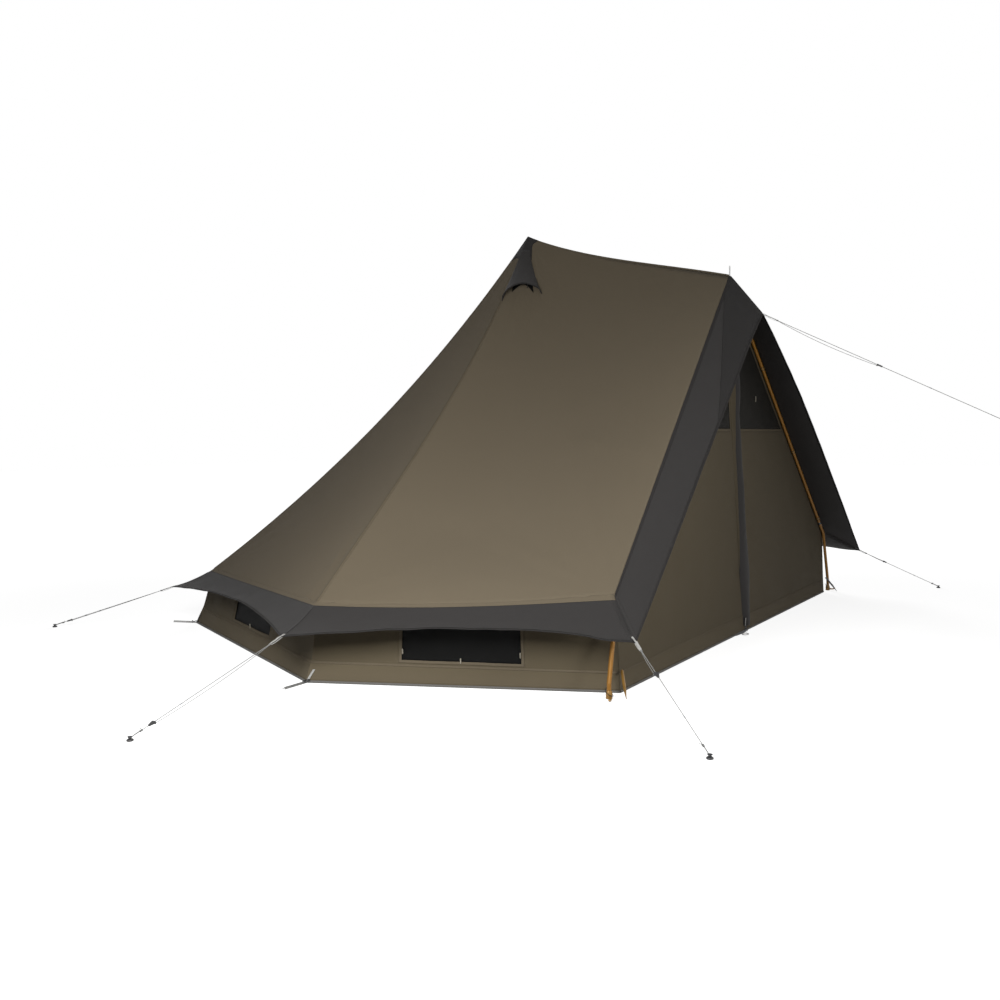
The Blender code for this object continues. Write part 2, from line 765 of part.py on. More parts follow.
def lower_tube(side, finish):
    """The bent lower tube, from the joint, round the knee and down to its boot."""
    top, knee = tube_line()
    way = (knee - top).normalized()
    foot_top = Vector((FOOT.x, FOOT.y, BOOT_HEIGHT + CLEARANCE))
    ankle = foot_top + Vector((0, 0, LEG_STRAIGHT))
    down = (ankle - knee).normalized()
    start = knee - way * (KNEE_SOCKET - CLEARANCE)
    route = [start]
    angle = way.angle(down)
    cut_back = KNEE_RADIUS * math.tan(angle / 2)
    into, out = knee - way * cut_back, knee + down * cut_back
    for k in range(KNEE_STEPS + 1):
        part = k / KNEE_STEPS
        route.append(into.lerp(knee, part).lerp(knee.lerp(out, part), part))
    route += [ankle, foot_top]
    name = "leg_left" if side == 1 else "leg_right"
    return rod(name, [flip(p, side) for p in route], TUBE_RADIUS, finish, 4)


def boot(side, finish):
    """The cap that a leg stands in."""
    profile = [
        (0, 0),
        (BOOT_RADIUS, 0),
        (BOOT_RADIUS, BOOT_HEIGHT - BOOT_TAPER),
        (TUBE_RADIUS, BOOT_HEIGHT),
        (0, BOOT_HEIGHT),
    ]
    name = "foot_left" if side == 1 else "foot_right"
    return turned(name, profile, flip(FOOT, side), finish)


def ridge_hub(finish):
    """The bent joint between the two upper tubes, with the spike that stands up through the ridge."""
    top, knee = tube_line()
    way = (knee - top).normalized() * HUB_ARM
    item = solid_rod("ridge_hub", [top + way, top, flip(top + way, -1)], HUB_RADIUS, finish, 4)
    height = RIDGE_FRONT.z + SPIKE_ABOVE - top.z
    profile = [
        (0, 0),
        (SPIKE_RADIUS, 0),
        (SPIKE_RADIUS, height - 2 * SPIKE_RADIUS),
        (SPIKE_RADIUS / 2, height),
        (0, height),
    ]
    spike = turned("ridge_spike_guide", profile, top, finish, steps=12)
    join = item.modifiers.new("Spike", "BOOLEAN")
    join.operation = "UNION"
    join.object = spike
    spike.hide_render = True
    spike.display_type = "WIRE"
    return item


def spike_hole(items, finish):
    """The eyelet for the spike where the roof panels and the porch strips meet."""
    top, _ = tube_line()
    height = SPIKE_ABOVE + TUBE_DROP + SPIKE_ABOVE
    profile = [(0, 0), (SPIKE_HOLE, 0), (SPIKE_HOLE, height), (0, height)]
    guide = turned("spike_hole_guide", profile, top, finish, steps=16)
    for item in items:
        cut(item, guide)


def centre_pole(finish, boot_finish):
    """The tall pole from the floor to the apex, its tip inside the ring of roof panels, and its foot."""
    base = Vector((APEX.x, APEX.y, FLOOR_CLOTH + CLEARANCE))
    boot_profile = [
        (0, 0),
        (POLE_BOOT_RADIUS, 0),
        (POLE_BOOT_RADIUS, POLE_BOOT_HEIGHT / 2),
        (POLE_RADIUS, POLE_BOOT_HEIGHT),
        (0, POLE_BOOT_HEIGHT),
    ]
    turned("centre_pole_foot", boot_profile, base, boot_finish)
    foot = base + Vector((0, 0, POLE_BOOT_HEIGHT + CLEARANCE))
    shoulder = APEX.z - POLE_TOP_DROP - foot.z
    tip = APEX.z - POLE_TIP_DROP - foot.z
    profile = [
        (0, 0),
        (POLE_RADIUS, 0),
        (POLE_RADIUS, shoulder - POLE_RADIUS),
        (POLE_TIP_RADIUS, shoulder),
        (POLE_TIP_RADIUS, tip - CLEARANCE),
        (0, tip),
    ]
    turned("centre_pole", profile, foot, finish, steps=20)


# Guylines


def side_lines():
    """The left-hand guylines: name, valance tip, stake and the place of the tensioner."""
    front = FRONT_EAVE + FRONT_TIP
    mid = MID_EAVE + MID_TIP
    rear = REAR_EAVE + REAR_TIP
    return [
        ("front", front, FRONT_STAKE, FRONT_TENSIONER_SHARE),
        ("mid", mid, MID_STAKE, SIDE_TENSIONER_SHARE),
        ("rear", rear, REAR_STAKE, SIDE_TENSIONER_SHARE),
    ]


def line_ends(tip, stake):
    """The two ends of a guyline's cord, clear of the valance tip and of the stake's neck."""
    tied = stake + Vector((0, 0, LINE_END_HEIGHT))
    middle = tip - Vector((0, 0, ROOF_CLOTH / 2))
    way = (tied - middle).normalized()
    flat, steep = math.hypot(way.x, way.y), abs(way.z)
    start = middle + way * (ROOF_CLOTH / 2 * steep + CLEARANCE)
    end = tied - way * (NECK_RADIUS + CLEARANCE + LINE_RADIUS * steep) / flat
    return start, end


def guyline(label, start, end, share, finishes):
    """A taut cord with the tensioner that slides on it."""
    way = (end - start).normalized()
    rod("guyline_" + label, [start, end], LINE_RADIUS, finishes["cord"])
    place = start.lerp(end, share)
    side = way.cross(Vector((0, 0, 1))).normalized()
    up = side.cross(way)
    half, thick = way * TENSIONER_LENGTH / 2, up * TENSIONER_THICKNESS
    narrow, wide = side * TENSIONER_NOSE_WIDTH / 2, side * TENSIONER_WIDTH / 2
    low = place - thick / 2
    shoulder = low - way * TENSIONER_SHOULDER
    outline = [low - half - wide, low - half + wide, shoulder + wide]
    outline += [low + half + narrow, low + half - narrow, shoulder - wide]
    item = prism("tensioner_" + label, outline, thick, finishes["black_plastic"], origin=place)
    reach = TENSIONER_LENGTH / 2 + TENSIONER_BORE_MARGIN
    guide = solid_rod(
        "tensioner_bore_guide_" + label,
        [place - way * reach, place + way * reach],
        LINE_RADIUS + LINE_CLEARANCE,
        finishes["cord"],
    )
    cut(item, guide)


def guylines(finishes):
    """Six side guylines with their stake heads, and the one that runs forward from the porch's tip."""
    head = [
        (0, 0),
        (HEAD_RADIUS, 0),
        (HEAD_RADIUS, HEAD_RIM),
        (NECK_RADIUS, NECK_BOTTOM),
        (NECK_RADIUS, NECK_TOP),
        (CROWN_RADIUS, CROWN_HEIGHT),
        (0, HEAD_HEIGHT),
    ]
    for label, side in SIDES.items():
        for name, tip, stake, share in side_lines():
            start, end = line_ends(flip(tip, side), flip(stake, side))
            full = name + "_" + label
            guyline(full, start, end, share, finishes)
            turned("stake_" + full, head, flip(stake, side), finishes["steel"])
    tip = RIDGE_FRONT + porch_edge(1) - Vector((0, 0, ROOF_CLOTH / 2))
    way = Vector((0, -1, -RIDGE_LINE_FALL)).normalized()
    start = tip + way * (ROOF_CLOTH / 2 * abs(way.z) + CLEARANCE)
    end = start + way * RIDGE_LINE_REACH * math.hypot(1, RIDGE_LINE_FALL)
    guyline("ridge", start, end, RIDGE_TENSIONER_SHARE, finishes)
    ridge_loop(end + way * CLEARANCE, way, finishes["cord"])


def ridge_loop(start, way, finish):
    """The knotted loop at the forward guyline's end, as one thin eye."""
    across = Vector((1, 0, 0))
    steps = RIDGE_LOOP_STEPS
    points = []
    for radius_share in (1, RIDGE_LOOP_INNER):
        for k in range(steps):
            angle = 2 * math.pi * k / steps
            along = RIDGE_LOOP_LENGTH / 2 * (1 - radius_share * math.cos(angle))
            wide = RIDGE_LOOP_WIDTH / 2 * radius_share * math.sin(angle)
            points.append(start + way * along + across * wide)
    lift = way.cross(across).normalized() * LINE_RADIUS
    count = len(points)
    both = [p - lift for p in points] + [p + lift for p in points]
    faces = []
    for k in range(steps):
        after = (k + 1) % steps
        for a, b in ((0, steps), (count + steps, count)):
            faces.append((a + k, a + after, b + after, b + k))
        faces.append((k, after, count + after, count + k))
        faces.append((steps + after, steps + k, count + steps + k, count + steps + after))
    return add("ridge_line_loop", mesh_from("ridge_line_loop", both, faces), finish, start.copy())


# Pegs


def peg_frame(way):
    """A peg's unit directions: along it, across it and up from its open side."""
    along = way.normalized()
    across = Vector((-along.y, along.x, 0)).normalized()
    return along, across, along.cross(across)


def peg(name, tip, way, finish):
    """A V-section peg with its point at tip and its head along way."""
    along, across, up = peg_frame(way)
    half, high = across * PEG_WIDTH / 2, up * PEG_HEIGHT
    inner_half, inner_high = across * (PEG_WIDTH / 2 - PEG_WALL), up * (PEG_HEIGHT - PEG_WALL)
    profile = [-half, high, half, inner_half, inner_high, -inner_half]
    corners = len(profile)
    points = []
    for distance, width in ((0, PEG_TAPER), (PEG_POINT, 1), (PEG_LENGTH, 1)):
        points += [tip + along * distance + corner * width for corner in profile]
    last = len(points) - 1
    faces = [tuple(range(corners)), tuple(range(last, last - corners, -1))]
    for low in range(0, len(points) - corners, corners):
        for k in range(corners):
            after = (k + 1) % corners
            faces.append((low + k, low + after, low + corners + after, low + corners + k))
    return add(name, mesh_from(name, points, faces), finish, tip.copy())


def front_peg_tip():
    """Where the front peg's point stands, so that its head leans on the front wall."""
    along, across, up = peg_frame(FRONT_PEG_WAY)
    tip = FOOT + FRONT_PEG_TIP
    head = tip + along * PEG_LENGTH
    corners = [head - across * PEG_WIDTH / 2, head + across * PEG_WIDTH / 2, head + up * PEG_HEIGHT]
    gap = min(on_front_wall(c.x, c.z).y - c.y for c in corners)
    return tip + Vector((0, gap - CLEARANCE, 0))


def pegs(finishes):
    """One peg at each ground corner, one at each leg and one at the door."""
    steel, amber = finishes["steel"], finishes["amber"]
    inward = Vector((1, 0, 0))
    mid_tip = MID_GROUND - inward * CLEARANCE
    rear_way = REAR_PEG_WAY.normalized()
    rear_tip = REAR_GROUND - rear_way * CLEARANCE
    for label, side in SIDES.items():
        peg("peg_mid_" + label, flip(mid_tip, side), flip(-inward, side), steel)
        peg("peg_rear_" + label, flip(rear_tip, side), flip(-rear_way, side), steel)
        peg("peg_front_" + label, flip(front_peg_tip(), side), flip(FRONT_PEG_WAY, side), amber)
    sheet_edge = wall_corners()[0].y + CLOTH + FLOOR_MARGIN
    beside = Vector((-PEG_LENGTH, sheet_edge - CLEARANCE - PEG_WIDTH / 2, 0))
    peg("peg_door", beside, inward, steel)


def main():
    clear_scene()
    finishes = make_materials()
    canvas, charcoal = finishes["canvas"], finishes["charcoal"]
    holed = []
    for side in SIDES.values():
        holed.append(roof_side(side, canvas))
        roof_rear_side(side, canvas)
        vent_hood(side, charcoal)
        valance_side(side, charcoal)
        holed.append(porch(side, charcoal))
        door(side, canvas)
        upper_tube(side, finishes["amber"])
        lower_tube(side, finishes["amber"])
        boot(side, finishes["black_plastic"])
    roof_rear(canvas)
    apex_cap(charcoal)
    valance_rear(charcoal)
    walls(canvas)
    groundsheet(finishes["groundsheet"])
    front_wall(canvas)
    zip_slider(finishes["black_plastic"])
    ridge_hub(finishes["steel"])
    spike_hole(holed, charcoal)
    centre_pole(finishes["steel"], finishes["black_plastic"])
    guylines(finishes)
    pegs(finishes)


main()
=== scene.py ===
"""Looks for the six-sided ridge tent: its cloth, trim, cords, metalwork, light and camera.

Metres, in the frame of the solids: X across, Y from the door to the rear, Z up, and the origin on the
ground under the middle pole. Points of the tent's shape are given for its left half, where X is below 0.
"""

import math

import bmesh
import bpy
from mathutils import Matrix, Vector, noise


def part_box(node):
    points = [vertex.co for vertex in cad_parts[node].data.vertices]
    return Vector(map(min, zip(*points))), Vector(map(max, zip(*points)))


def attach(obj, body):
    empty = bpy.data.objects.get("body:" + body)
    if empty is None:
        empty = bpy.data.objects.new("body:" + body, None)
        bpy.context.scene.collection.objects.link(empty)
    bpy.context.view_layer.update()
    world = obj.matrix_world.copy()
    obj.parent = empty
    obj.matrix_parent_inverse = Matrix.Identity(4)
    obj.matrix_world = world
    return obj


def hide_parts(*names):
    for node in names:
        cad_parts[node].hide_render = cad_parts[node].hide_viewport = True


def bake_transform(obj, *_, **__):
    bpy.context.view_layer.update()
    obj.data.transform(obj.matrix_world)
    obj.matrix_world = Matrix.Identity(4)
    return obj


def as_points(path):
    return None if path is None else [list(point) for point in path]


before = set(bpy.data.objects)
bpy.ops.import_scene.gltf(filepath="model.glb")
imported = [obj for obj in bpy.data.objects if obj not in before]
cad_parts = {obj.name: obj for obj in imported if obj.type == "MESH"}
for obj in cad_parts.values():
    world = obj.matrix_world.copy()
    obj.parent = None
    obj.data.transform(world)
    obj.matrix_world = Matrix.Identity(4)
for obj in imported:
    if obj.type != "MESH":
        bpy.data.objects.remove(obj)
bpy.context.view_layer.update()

LEFT, RIGHT = 1, -1
SIDES = {"left": LEFT, "right": RIGHT}
UP = Vector((0, 0, 1))

# The tent's corners, as its solids have them
APEX = Vector((0, 0, 2.367))
RIDGE_FRONT = Vector((0, -1.330, 2.000))
FRONT_EAVE = Vector((-1.604, -1.426, 0.425))
MID_EAVE = Vector((-2.100, -0.150, 0.350))
REAR_EAVE = Vector((-1.420, 1.374, 0.320))
FRONT_GROUND = Vector((-1.579, -1.442, 0))
MID_GROUND = Vector((-2.141, -0.154, 0))
REAR_GROUND = Vector((-1.480, 1.431, 0))
FOOT = Vector((-1.684, -1.441, 0))

# Each roof seam's lower end, how deep it sags and how far its sag leans toward the apex
SEAMS = {
    "ridge": (RIDGE_FRONT, 0.030, 0.80),
    "crease": (FRONT_EAVE, 0.160, 0.70),
    "mid": (MID_EAVE, 0.140, 0.50),
    "rear": (REAR_EAVE, 0.165, 0.15),
}
SIDE_EAVE_SAG = 0.022
FRONT_TIP = Vector((-0.198, -0.192, -0.136))
MID_TIP = Vector((-0.265, -0.050, -0.100))
REAR_TIP = Vector((-0.170, 0.161, -0.094))
SCALLOP = 0.38
TIP_SWELL = 0.045
WALL_LEAN = 0.0665
DOOR_TOP = 1.700
MESH_LINE = 1.138
LOW_SEAM = 0.088

CLOTH_THICK = 0.0012
THIN_CLOTH = 0.0006


def flip(point, side):
    """A left-hand point, or its mirror image on the right."""
    return Vector((point.x * side, point.y, point.z))


def smooth(low, high, value):
    """0 below low, 1 above high, and a soft step between them."""
    part = min(max((value - low) / (high - low), 0), 1)
    return part * part * (3 - 2 * part)


def arch(share):
    """0 at both ends of the way from 0 to 1, and 1 in its middle."""
    return 4 * share * (1 - share)


def on_side(share, side):
    """A share of the way across a left-hand panel, which runs the other way on the right."""
    return share if side == LEFT else 1 - share


def divided(stops, counts):
    """Places that part each stretch between stops evenly, with the last stop."""
    places = []
    for a, b, count in zip(stops, stops[1:], counts):
        places += [a + (b - a) * k / count for k in range(count)]
    return places + [stops[-1]]


def ripple(*place):
    """Smooth noise from -1 to 1 at a place of three numbers."""
    return noise.noise(Vector(place))


# Shader maths


class Wire:
    """One output of a node; arithmetic on it adds Math nodes."""

    def __init__(self, paint, socket):
        self.paint = paint
        self.socket = socket

    def math(self, operation, *others, clamp=False):
        settings = {"operation": operation, "use_clamp": clamp}
        return self.paint.node("ShaderNodeMath", settings, dict(enumerate((self, *others))))

    def __add__(self, other):
        return self.math("ADD", other)

    def __sub__(self, other):
        return self.math("SUBTRACT", other)

    def __mul__(self, other):
        return self.math("MULTIPLY", other)

    def __gt__(self, other):
        return self.math("GREATER_THAN", other)

    def __lt__(self, other):
        return self.math("LESS_THAN", other)

    def __rsub__(self, other):
        return self.paint.node("ShaderNodeMath", {"operation": "SUBTRACT"}, {0: other, 1: self})

    __radd__ = __add__
    __rmul__ = __mul__

    def step(self, low, high):
        """0 below low and 1 above high, with a soft step between them."""
        settings = {"interpolation_type": "SMOOTHSTEP"}
        values = {"Value": self, "From Min": low, "From Max": high}
        return self.paint.node("ShaderNodeMapRange", settings, values)

    def wave(self, pitch):
        """A sine of that pitch, from -1 to 1."""
        return (self * (2 * math.pi / pitch)).math("SINE")


class Paint:
    """The nodes of one material or of the world."""

    def __init__(self, owner):
        owner.use_nodes = True
        self.owner = owner
        self.tree = owner.node_tree
        self.tree.nodes.clear()

    def node(self, kind, settings=None, values=None, output=0):
        """Add a node, set it up, fill or link its sockets, and give the output that is asked for."""
        made = self.tree.nodes.new(kind)
        for name, value in (settings or {}).items():
            setattr(made, name, value)
        for key, value in (values or {}).items():
            if isinstance(value, Wire):
                self.tree.links.new(value.socket, made.inputs[key])
            else:
                made.inputs[key].default_value = value
        return Wire(self, made.outputs[output]) if made.outputs else None

    def place(self):
        """Where the surface is, in Object coordinates."""
        return self.node("ShaderNodeTexCoord", output="Object")

    def cloth(self):
        """The piece's own map of its cloth, in metres."""
        return self.node("ShaderNodeUVMap", {"uv_map": "Cloth"})

    def axes(self, vector):
        """The three numbers of a vector."""
        first = self.node("ShaderNodeSeparateXYZ", None, {0: vector})
        node = first.socket.node
        return [Wire(self, node.outputs[k]) for k in range(3)]

    def scaled(self, vector, by):
        """A vector stretched along each axis."""
        settings = {"operation": "MULTIPLY"}
        return self.node("ShaderNodeVectorMath", settings, {0: vector, 1: by})

    def noise(self, vector, scale, detail=2.0, roughness=0.5, distortion=0.0):
        """Noise from 0 to 1, with so many lumps a metre as scale says."""
        values = {"Vector": vector, "Scale": scale, "Detail": detail}
        values |= {"Roughness": roughness, "Distortion": distortion}
        return self.node("ShaderNodeTexNoise", None, values)

    def mix(self, factor, first, second):
        """One colour over another."""
        return self.node("ShaderNodeMix", {"data_type": "RGBA"}, {0: factor, 6: first, 7: second}, 2)

    def shade(self, factor, base, dark, bright):
        """A colour between a darker and a brighter tint of itself."""
        return self.mix(factor, tinted(base, dark), tinted(base, bright))

    def bump(self, height, strength, distance):
        """A bent normal from a height."""
        values = {"Height": height, "Strength": strength, "Distance": distance}
        return self.node("ShaderNodeBump", None, values)

    def surface(self, **values):
        """The Principled shader on the output, with sockets named in words joined by underscores."""
        named = {key.replace("_", " ").title().replace("Ior", "IOR"): v for key, v in values.items()}
        shader = self.node("ShaderNodeBsdfPrincipled", None, named)
        self.node("ShaderNodeOutputMaterial", None, {"Surface": shader})
        return self.owner

    def seen(self):
        """1 for what the camera sees itself, in a reflection or through a surface, and 0 for other light."""
        outputs = self.node("ShaderNodeLightPath").socket.node.outputs
        rays = [Wire(self, outputs[f"Is {kind} Ray"]) for kind in ("Camera", "Glossy", "Transmission")]
        return rays[0].math("MAXIMUM", rays[1]).math("MAXIMUM", rays[2])


def colour(red, green, blue):
    """A colour from its sRGB numbers of 0 to 255, as the shader wants it."""
    linear = []
    for value in (red, green, blue):
        part = value / 255
        linear.append(part / 12.92 if part <= 0.04045 else ((part + 0.055) / 1.055) ** 2.4)
    return (*linear, 1)


def tinted(base, factor):
    """The same colour, darker or lighter."""
    return (*[min(part * factor, 1) for part in base[:3]], 1)


def material(name):
    """The nodes to paint a new material with."""
    return Paint(bpy.data.materials.new(name))


CLOTH_SHINE = 0.18
MESH_PITCH, STITCH_PITCH = 0.0016, 0.0032
DARK_WEAVE = (0.0007, 0.08, 0.03)


def weave(along, across, pitch):
    """The height of a plain weave: warp and weft threads that pass over each other."""
    warp, weft = along.wave(2 * pitch), across.wave(2 * pitch)
    over = (warp * weft) > 0
    return over * warp.math("ABSOLUTE") + (1 - over) * weft.math("ABSOLUTE")


def woven(name, base, pitch=0.0011, blotch=0.10, slub=0.05, roughness=0.84, dusty=0.0, sheen=0.03, band=0.0):
    """A woven cloth with slubs, soft blotches and, where it is wanted, dust near the ground."""
    paint = material(name)
    spot = paint.cloth()
    place = paint.place()
    along, across, _ = paint.axes(spot)
    threads = weave(along, across, pitch)
    warp_slub = paint.noise(paint.scaled(spot, (900, 22, 1)), 1.0, 1.0)
    weft_slub = paint.noise(paint.scaled(spot, (22, 900, 1)), 1.0, 1.0)
    broad = paint.noise(place, 2.1, 4.0, 0.55, 0.3)
    fine = paint.noise(place, 38.0, 3.0, 0.6)
    tone = (warp_slub + weft_slub - 1.0) * slub + (broad - 0.5) * blotch + (fine - 0.5) * 0.06
    shade = paint.shade((0.5 + tone).math("ADD", 0.0, clamp=True), base, 0.55, 1.45)
    mixed = paint.mix(0.5, base, shade)
    if dusty:
        height = paint.axes(place)[2]
        mixed = paint.mix((1 - height.step(0.0875, 0.0885)) * band, mixed, tinted(base, 1.4))
        dust = (1 - height.step(0.0, 0.11)) * (0.35 + 0.65 * paint.noise(place, 9.0, 5.0, 0.7))
        mixed = paint.mix(dust * dusty, mixed, colour(128, 118, 100))
    relief = threads * 0.00035 + fine * 0.0006 + broad * 0.0016
    return paint.surface(
        base_color=mixed,
        roughness=roughness + (fine - 0.5) * 0.10,
        normal=paint.bump(relief, 0.55, 1.0),
        sheen_weight=sheen,
        specular_ior_level=CLOTH_SHINE,
    )


def stitched(name, base, thread):
    """A flat sewn strip: its map runs from 0 to 1 across it in the first number and along it in metres."""
    paint = material(name)
    spot = paint.cloth()
    across, along, _ = paint.axes(spot)
    ticks = along.wave(STITCH_PITCH) > -0.35
    rows = ((across - 0.22).math("ABSOLUTE") < 0.055) + ((across - 0.78).math("ABSOLUTE") < 0.055)
    stitch = rows * ticks
    pucker = paint.noise(paint.scaled(spot, (0.6, 60, 1)), 1.0, 2.0)
    grain = paint.noise(paint.place(), 700.0, 2.0)
    tone = paint.shade(0.35 + 0.5 * pucker, base, 0.72, 1.12)
    mixed = paint.mix(stitch, tone, thread)
    relief = stitch * 0.0004 - rows * 0.0003 + pucker * 0.0009 + grain * 0.0001
    normal = paint.bump(relief, 0.8, 1.0)
    return paint.surface(base_color=mixed, roughness=0.86, normal=normal, specular_ior_level=CLOTH_SHINE)


def netting(name, dark, light):
    """Fine black insect mesh, which is thread by thread opaque."""
    paint = material(name)
    warp, weft, _ = (way.wave(MESH_PITCH).math("ABSOLUTE") < 0.62 for way in paint.axes(paint.cloth()))
    thread = warp.math("MAXIMUM", weft)
    tone = paint.mix(paint.noise(paint.place(), 4.0, 3.0), dark, light)
    opaque = 0.86 + 0.14 * thread
    normal = paint.bump(thread, 0.2, 0.0004)
    return paint.surface(base_color=tone, roughness=0.8, alpha=opaque, normal=normal, specular_ior_level=0.12)


def anodised(name, base, worn):
    """Anodised tube with drawn lines, handling marks and a few bright scratches."""
    paint = material(name)
    place = paint.place()
    lines = paint.noise(paint.scaled(place, (260, 260, 9)), 1.0, 2.0)
    marks = paint.noise(place, 26.0, 5.0, 0.65)
    scratch = paint.noise(paint.scaled(place, (900, 900, 60)), 1.0, 1.0).step(0.76, 0.80)
    tone = paint.shade(0.25 + 0.5 * marks, base, 0.78, 1.10)
    tone = paint.mix(scratch * 0.6, tone, worn)
    rough = 0.34 + 0.14 * marks + 0.06 * lines
    metal = 0.26 - 0.1 * marks
    normal = paint.bump(lines * 0.5 + marks * 0.5, 0.12, 0.0008)
    return paint.surface(base_color=tone, roughness=rough, metallic=metal, normal=normal)


def metal(name, base, rough=0.34):
    """Drawn metal that has been in the ground: soft scratches, dull patches and a little soil."""
    paint = material(name)
    place = paint.place()
    dull = paint.noise(place, 34.0, 5.0, 0.65)
    lines = paint.noise(paint.scaled(place, (520, 520, 40)), 1.0, 2.0)
    height = paint.axes(place)[2]
    soil = (1 - height.step(0.0, 0.02)) * dull.step(0.45, 0.75)
    tone = paint.shade(dull, base, 0.72, 1.12)
    tone = paint.mix(soil * 0.35, tone, colour(96, 84, 68))
    return paint.surface(
        base_color=tone,
        roughness=rough + 0.22 * dull + 0.08 * lines,
        metallic=0.95 - 0.5 * soil,
        normal=paint.bump(lines * 0.4 + dull * 0.6, 0.16, 0.0006),
    )


def plastic(name, base, rough=0.48):
    """Moulded plastic with a fine spark-eroded grain and rubbed, paler patches."""
    paint = material(name)
    place = paint.place()
    grain = paint.noise(place, 1900.0, 2.0)
    rubbed = paint.noise(place, 60.0, 4.0, 0.6)
    tone = paint.shade(rubbed, base, 0.8, 1.5)
    rough = rough + 0.16 * (rubbed - 0.5)
    return paint.surface(base_color=tone, roughness=rough, normal=paint.bump(grain, 0.18, 0.0002))


def braided(name, base, fleck, radius):
    """A braided cord: two sets of strands that wind opposite ways, with a fleck in one of them."""
    paint = material(name)
    around, along, _ = paint.axes(paint.cloth())
    turn = around * (1 / (2 * math.pi * radius))
    pitch = along * (1 / (radius * 5.2))
    one = (turn + pitch).wave(0.25)
    two = (turn - pitch).wave(0.25)
    strands = one.math("MAXIMUM", two)
    flecked = ((turn + pitch).wave(1.0) > 0.86) * (one > 0.1)
    worn = paint.noise(paint.place(), 120.0, 3.0)
    tone = paint.shade(0.5 + 0.5 * strands, base, 0.62, 1.05)
    tone = paint.mix(flecked * 0.6, tone, fleck)
    tone = paint.mix(worn * 0.25, tone, tinted(base, 0.7))
    relief = strands * 0.5 + worn * 0.2
    return paint.surface(base_color=tone, roughness=0.8, normal=paint.bump(relief, 0.6, 0.0004))


def webbing(name, base):
    """Flat woven webbing: ribs across it and a firm edge."""
    paint = material(name)
    across, along, _ = paint.axes(paint.cloth())
    ribs = along.wave(0.0021) * (0.6 + 0.4 * across.wave(0.0013))
    fuzz = paint.noise(paint.place(), 240.0, 3.0)
    tone = paint.shade(0.5 + 0.3 * ribs + 0.3 * (fuzz - 0.5), base, 0.62, 1.08)
    relief = ribs * 0.5 + fuzz * 0.3
    return paint.surface(base_color=tone, roughness=0.82, normal=paint.bump(relief, 0.7, 0.0005))


CANVAS = colour(112, 102, 85)
CHARCOAL = colour(54, 52, 51)

finishes = {
    "canvas": woven("canvas", CANVAS),
    "wall": woven("wall_canvas", colour(93, 84, 67), dusty=0.22, band=0.4),
    "charcoal": woven("charcoal_cloth", CHARCOAL, *DARK_WEAVE, 0.74),
    # The doubled charcoal is painted darker than the charcoal. Over the porch's top it is a second layer and
    # painted shade of a fold in the porch; over the apex it is a second layer.
    "charcoal_double_and_painted_shade": woven("charcoal_double_and_painted_shade", tinted(CHARCOAL, 0.66), *DARK_WEAVE, 0.78),
    # The storm flap's cloth is the charcoal cloth painted lighter: painted light, where the flap faces the
    # lamps.
    "flap_painted_light": woven("flap_cloth", colour(64, 62, 61), *DARK_WEAVE, 0.74),
    "canvas_seam": stitched("canvas_seam", tinted(CANVAS, 0.93), colour(92, 83, 67)),
    "charcoal_seam": stitched("charcoal_seam", tinted(CHARCOAL, 0.86), colour(52, 50, 49)),
    "netting": netting("insect_mesh", colour(13, 13, 13), colour(20, 20, 19)),
    # The doors' insect mesh is the same mesh painted lighter: painted light on it.
    "door_netting_painted_light": netting("door_mesh_painted_light", colour(30, 29, 27), colour(43, 41, 37)),
    "amber_cast": anodised("amber_casting", colour(148, 110, 48), colour(180, 156, 112)),
    "welt": webbing("welt_tape", colour(118, 116, 112)),
    "zip": plastic("zip_coil", colour(30, 30, 31), 0.42),
    "floor": woven("floor_sheet", colour(52, 53, 54), 0.0026, 0.10, 0.04, 0.58, sheen=0.0),
    "amber": anodised("amber_tube", colour(148, 100, 18), colour(180, 146, 88)),
    "steel": metal("bare_metal", colour(176, 176, 174)),
    "grey_metal": metal("grey_metal", colour(172, 172, 171), 0.40),
    "dark_metal": metal("dark_metal", colour(74, 75, 77), 0.42),
    "plastic": plastic("black_plastic", colour(24, 24, 25)),
    "cord": braided("braided_cord", colour(152, 152, 150), colour(96, 98, 100), 0.0015),
    "black_cord": braided("black_cord", colour(30, 30, 31), colour(58, 58, 60), 0.0022),
    "webbing": webbing("grey_webbing", colour(196, 195, 190)),
    "black_webbing": webbing("black_webbing", colour(34, 34, 35)),
    "marker": plastic("reflective_band", colour(150, 152, 154), 0.3),
    "wood": plastic("pale_toggle", colour(150, 144, 130), 0.55),
}


# Ways of making a piece


def scene_item(name, data):
    """Put a mesh, a lamp or a camera into the scene."""
    item = bpy.data.objects.new(name, data)
    bpy.context.scene.collection.objects.link(item)
    return item


def piece(name, shape, finish, body="tent", slot=None, nodes=(), angle=None):
    """Turn a finished bmesh into an object that rides on a body."""
    mesh = bpy.data.meshes.new(name)
    shape.to_mesh(mesh)
    shape.free()
    mesh.shade_smooth()
    if angle is not None:
        mesh.set_sharp_from_angle(angle=math.radians(angle))
    mesh.materials.append(finishes[finish])
    made = scene_item(name, mesh)
    if nodes:
        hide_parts(*nodes)
    if body:
        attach(made, body)
    return made


def turn_over(shape):
    """Turn all of a sheet's faces over."""
    bmesh.ops.reverse_faces(shape, faces=shape.faces)


def faces_outward(shape):
    """Turn a closed shape's faces outward."""
    bmesh.ops.recalc_face_normals(shape, faces=shape.faces)


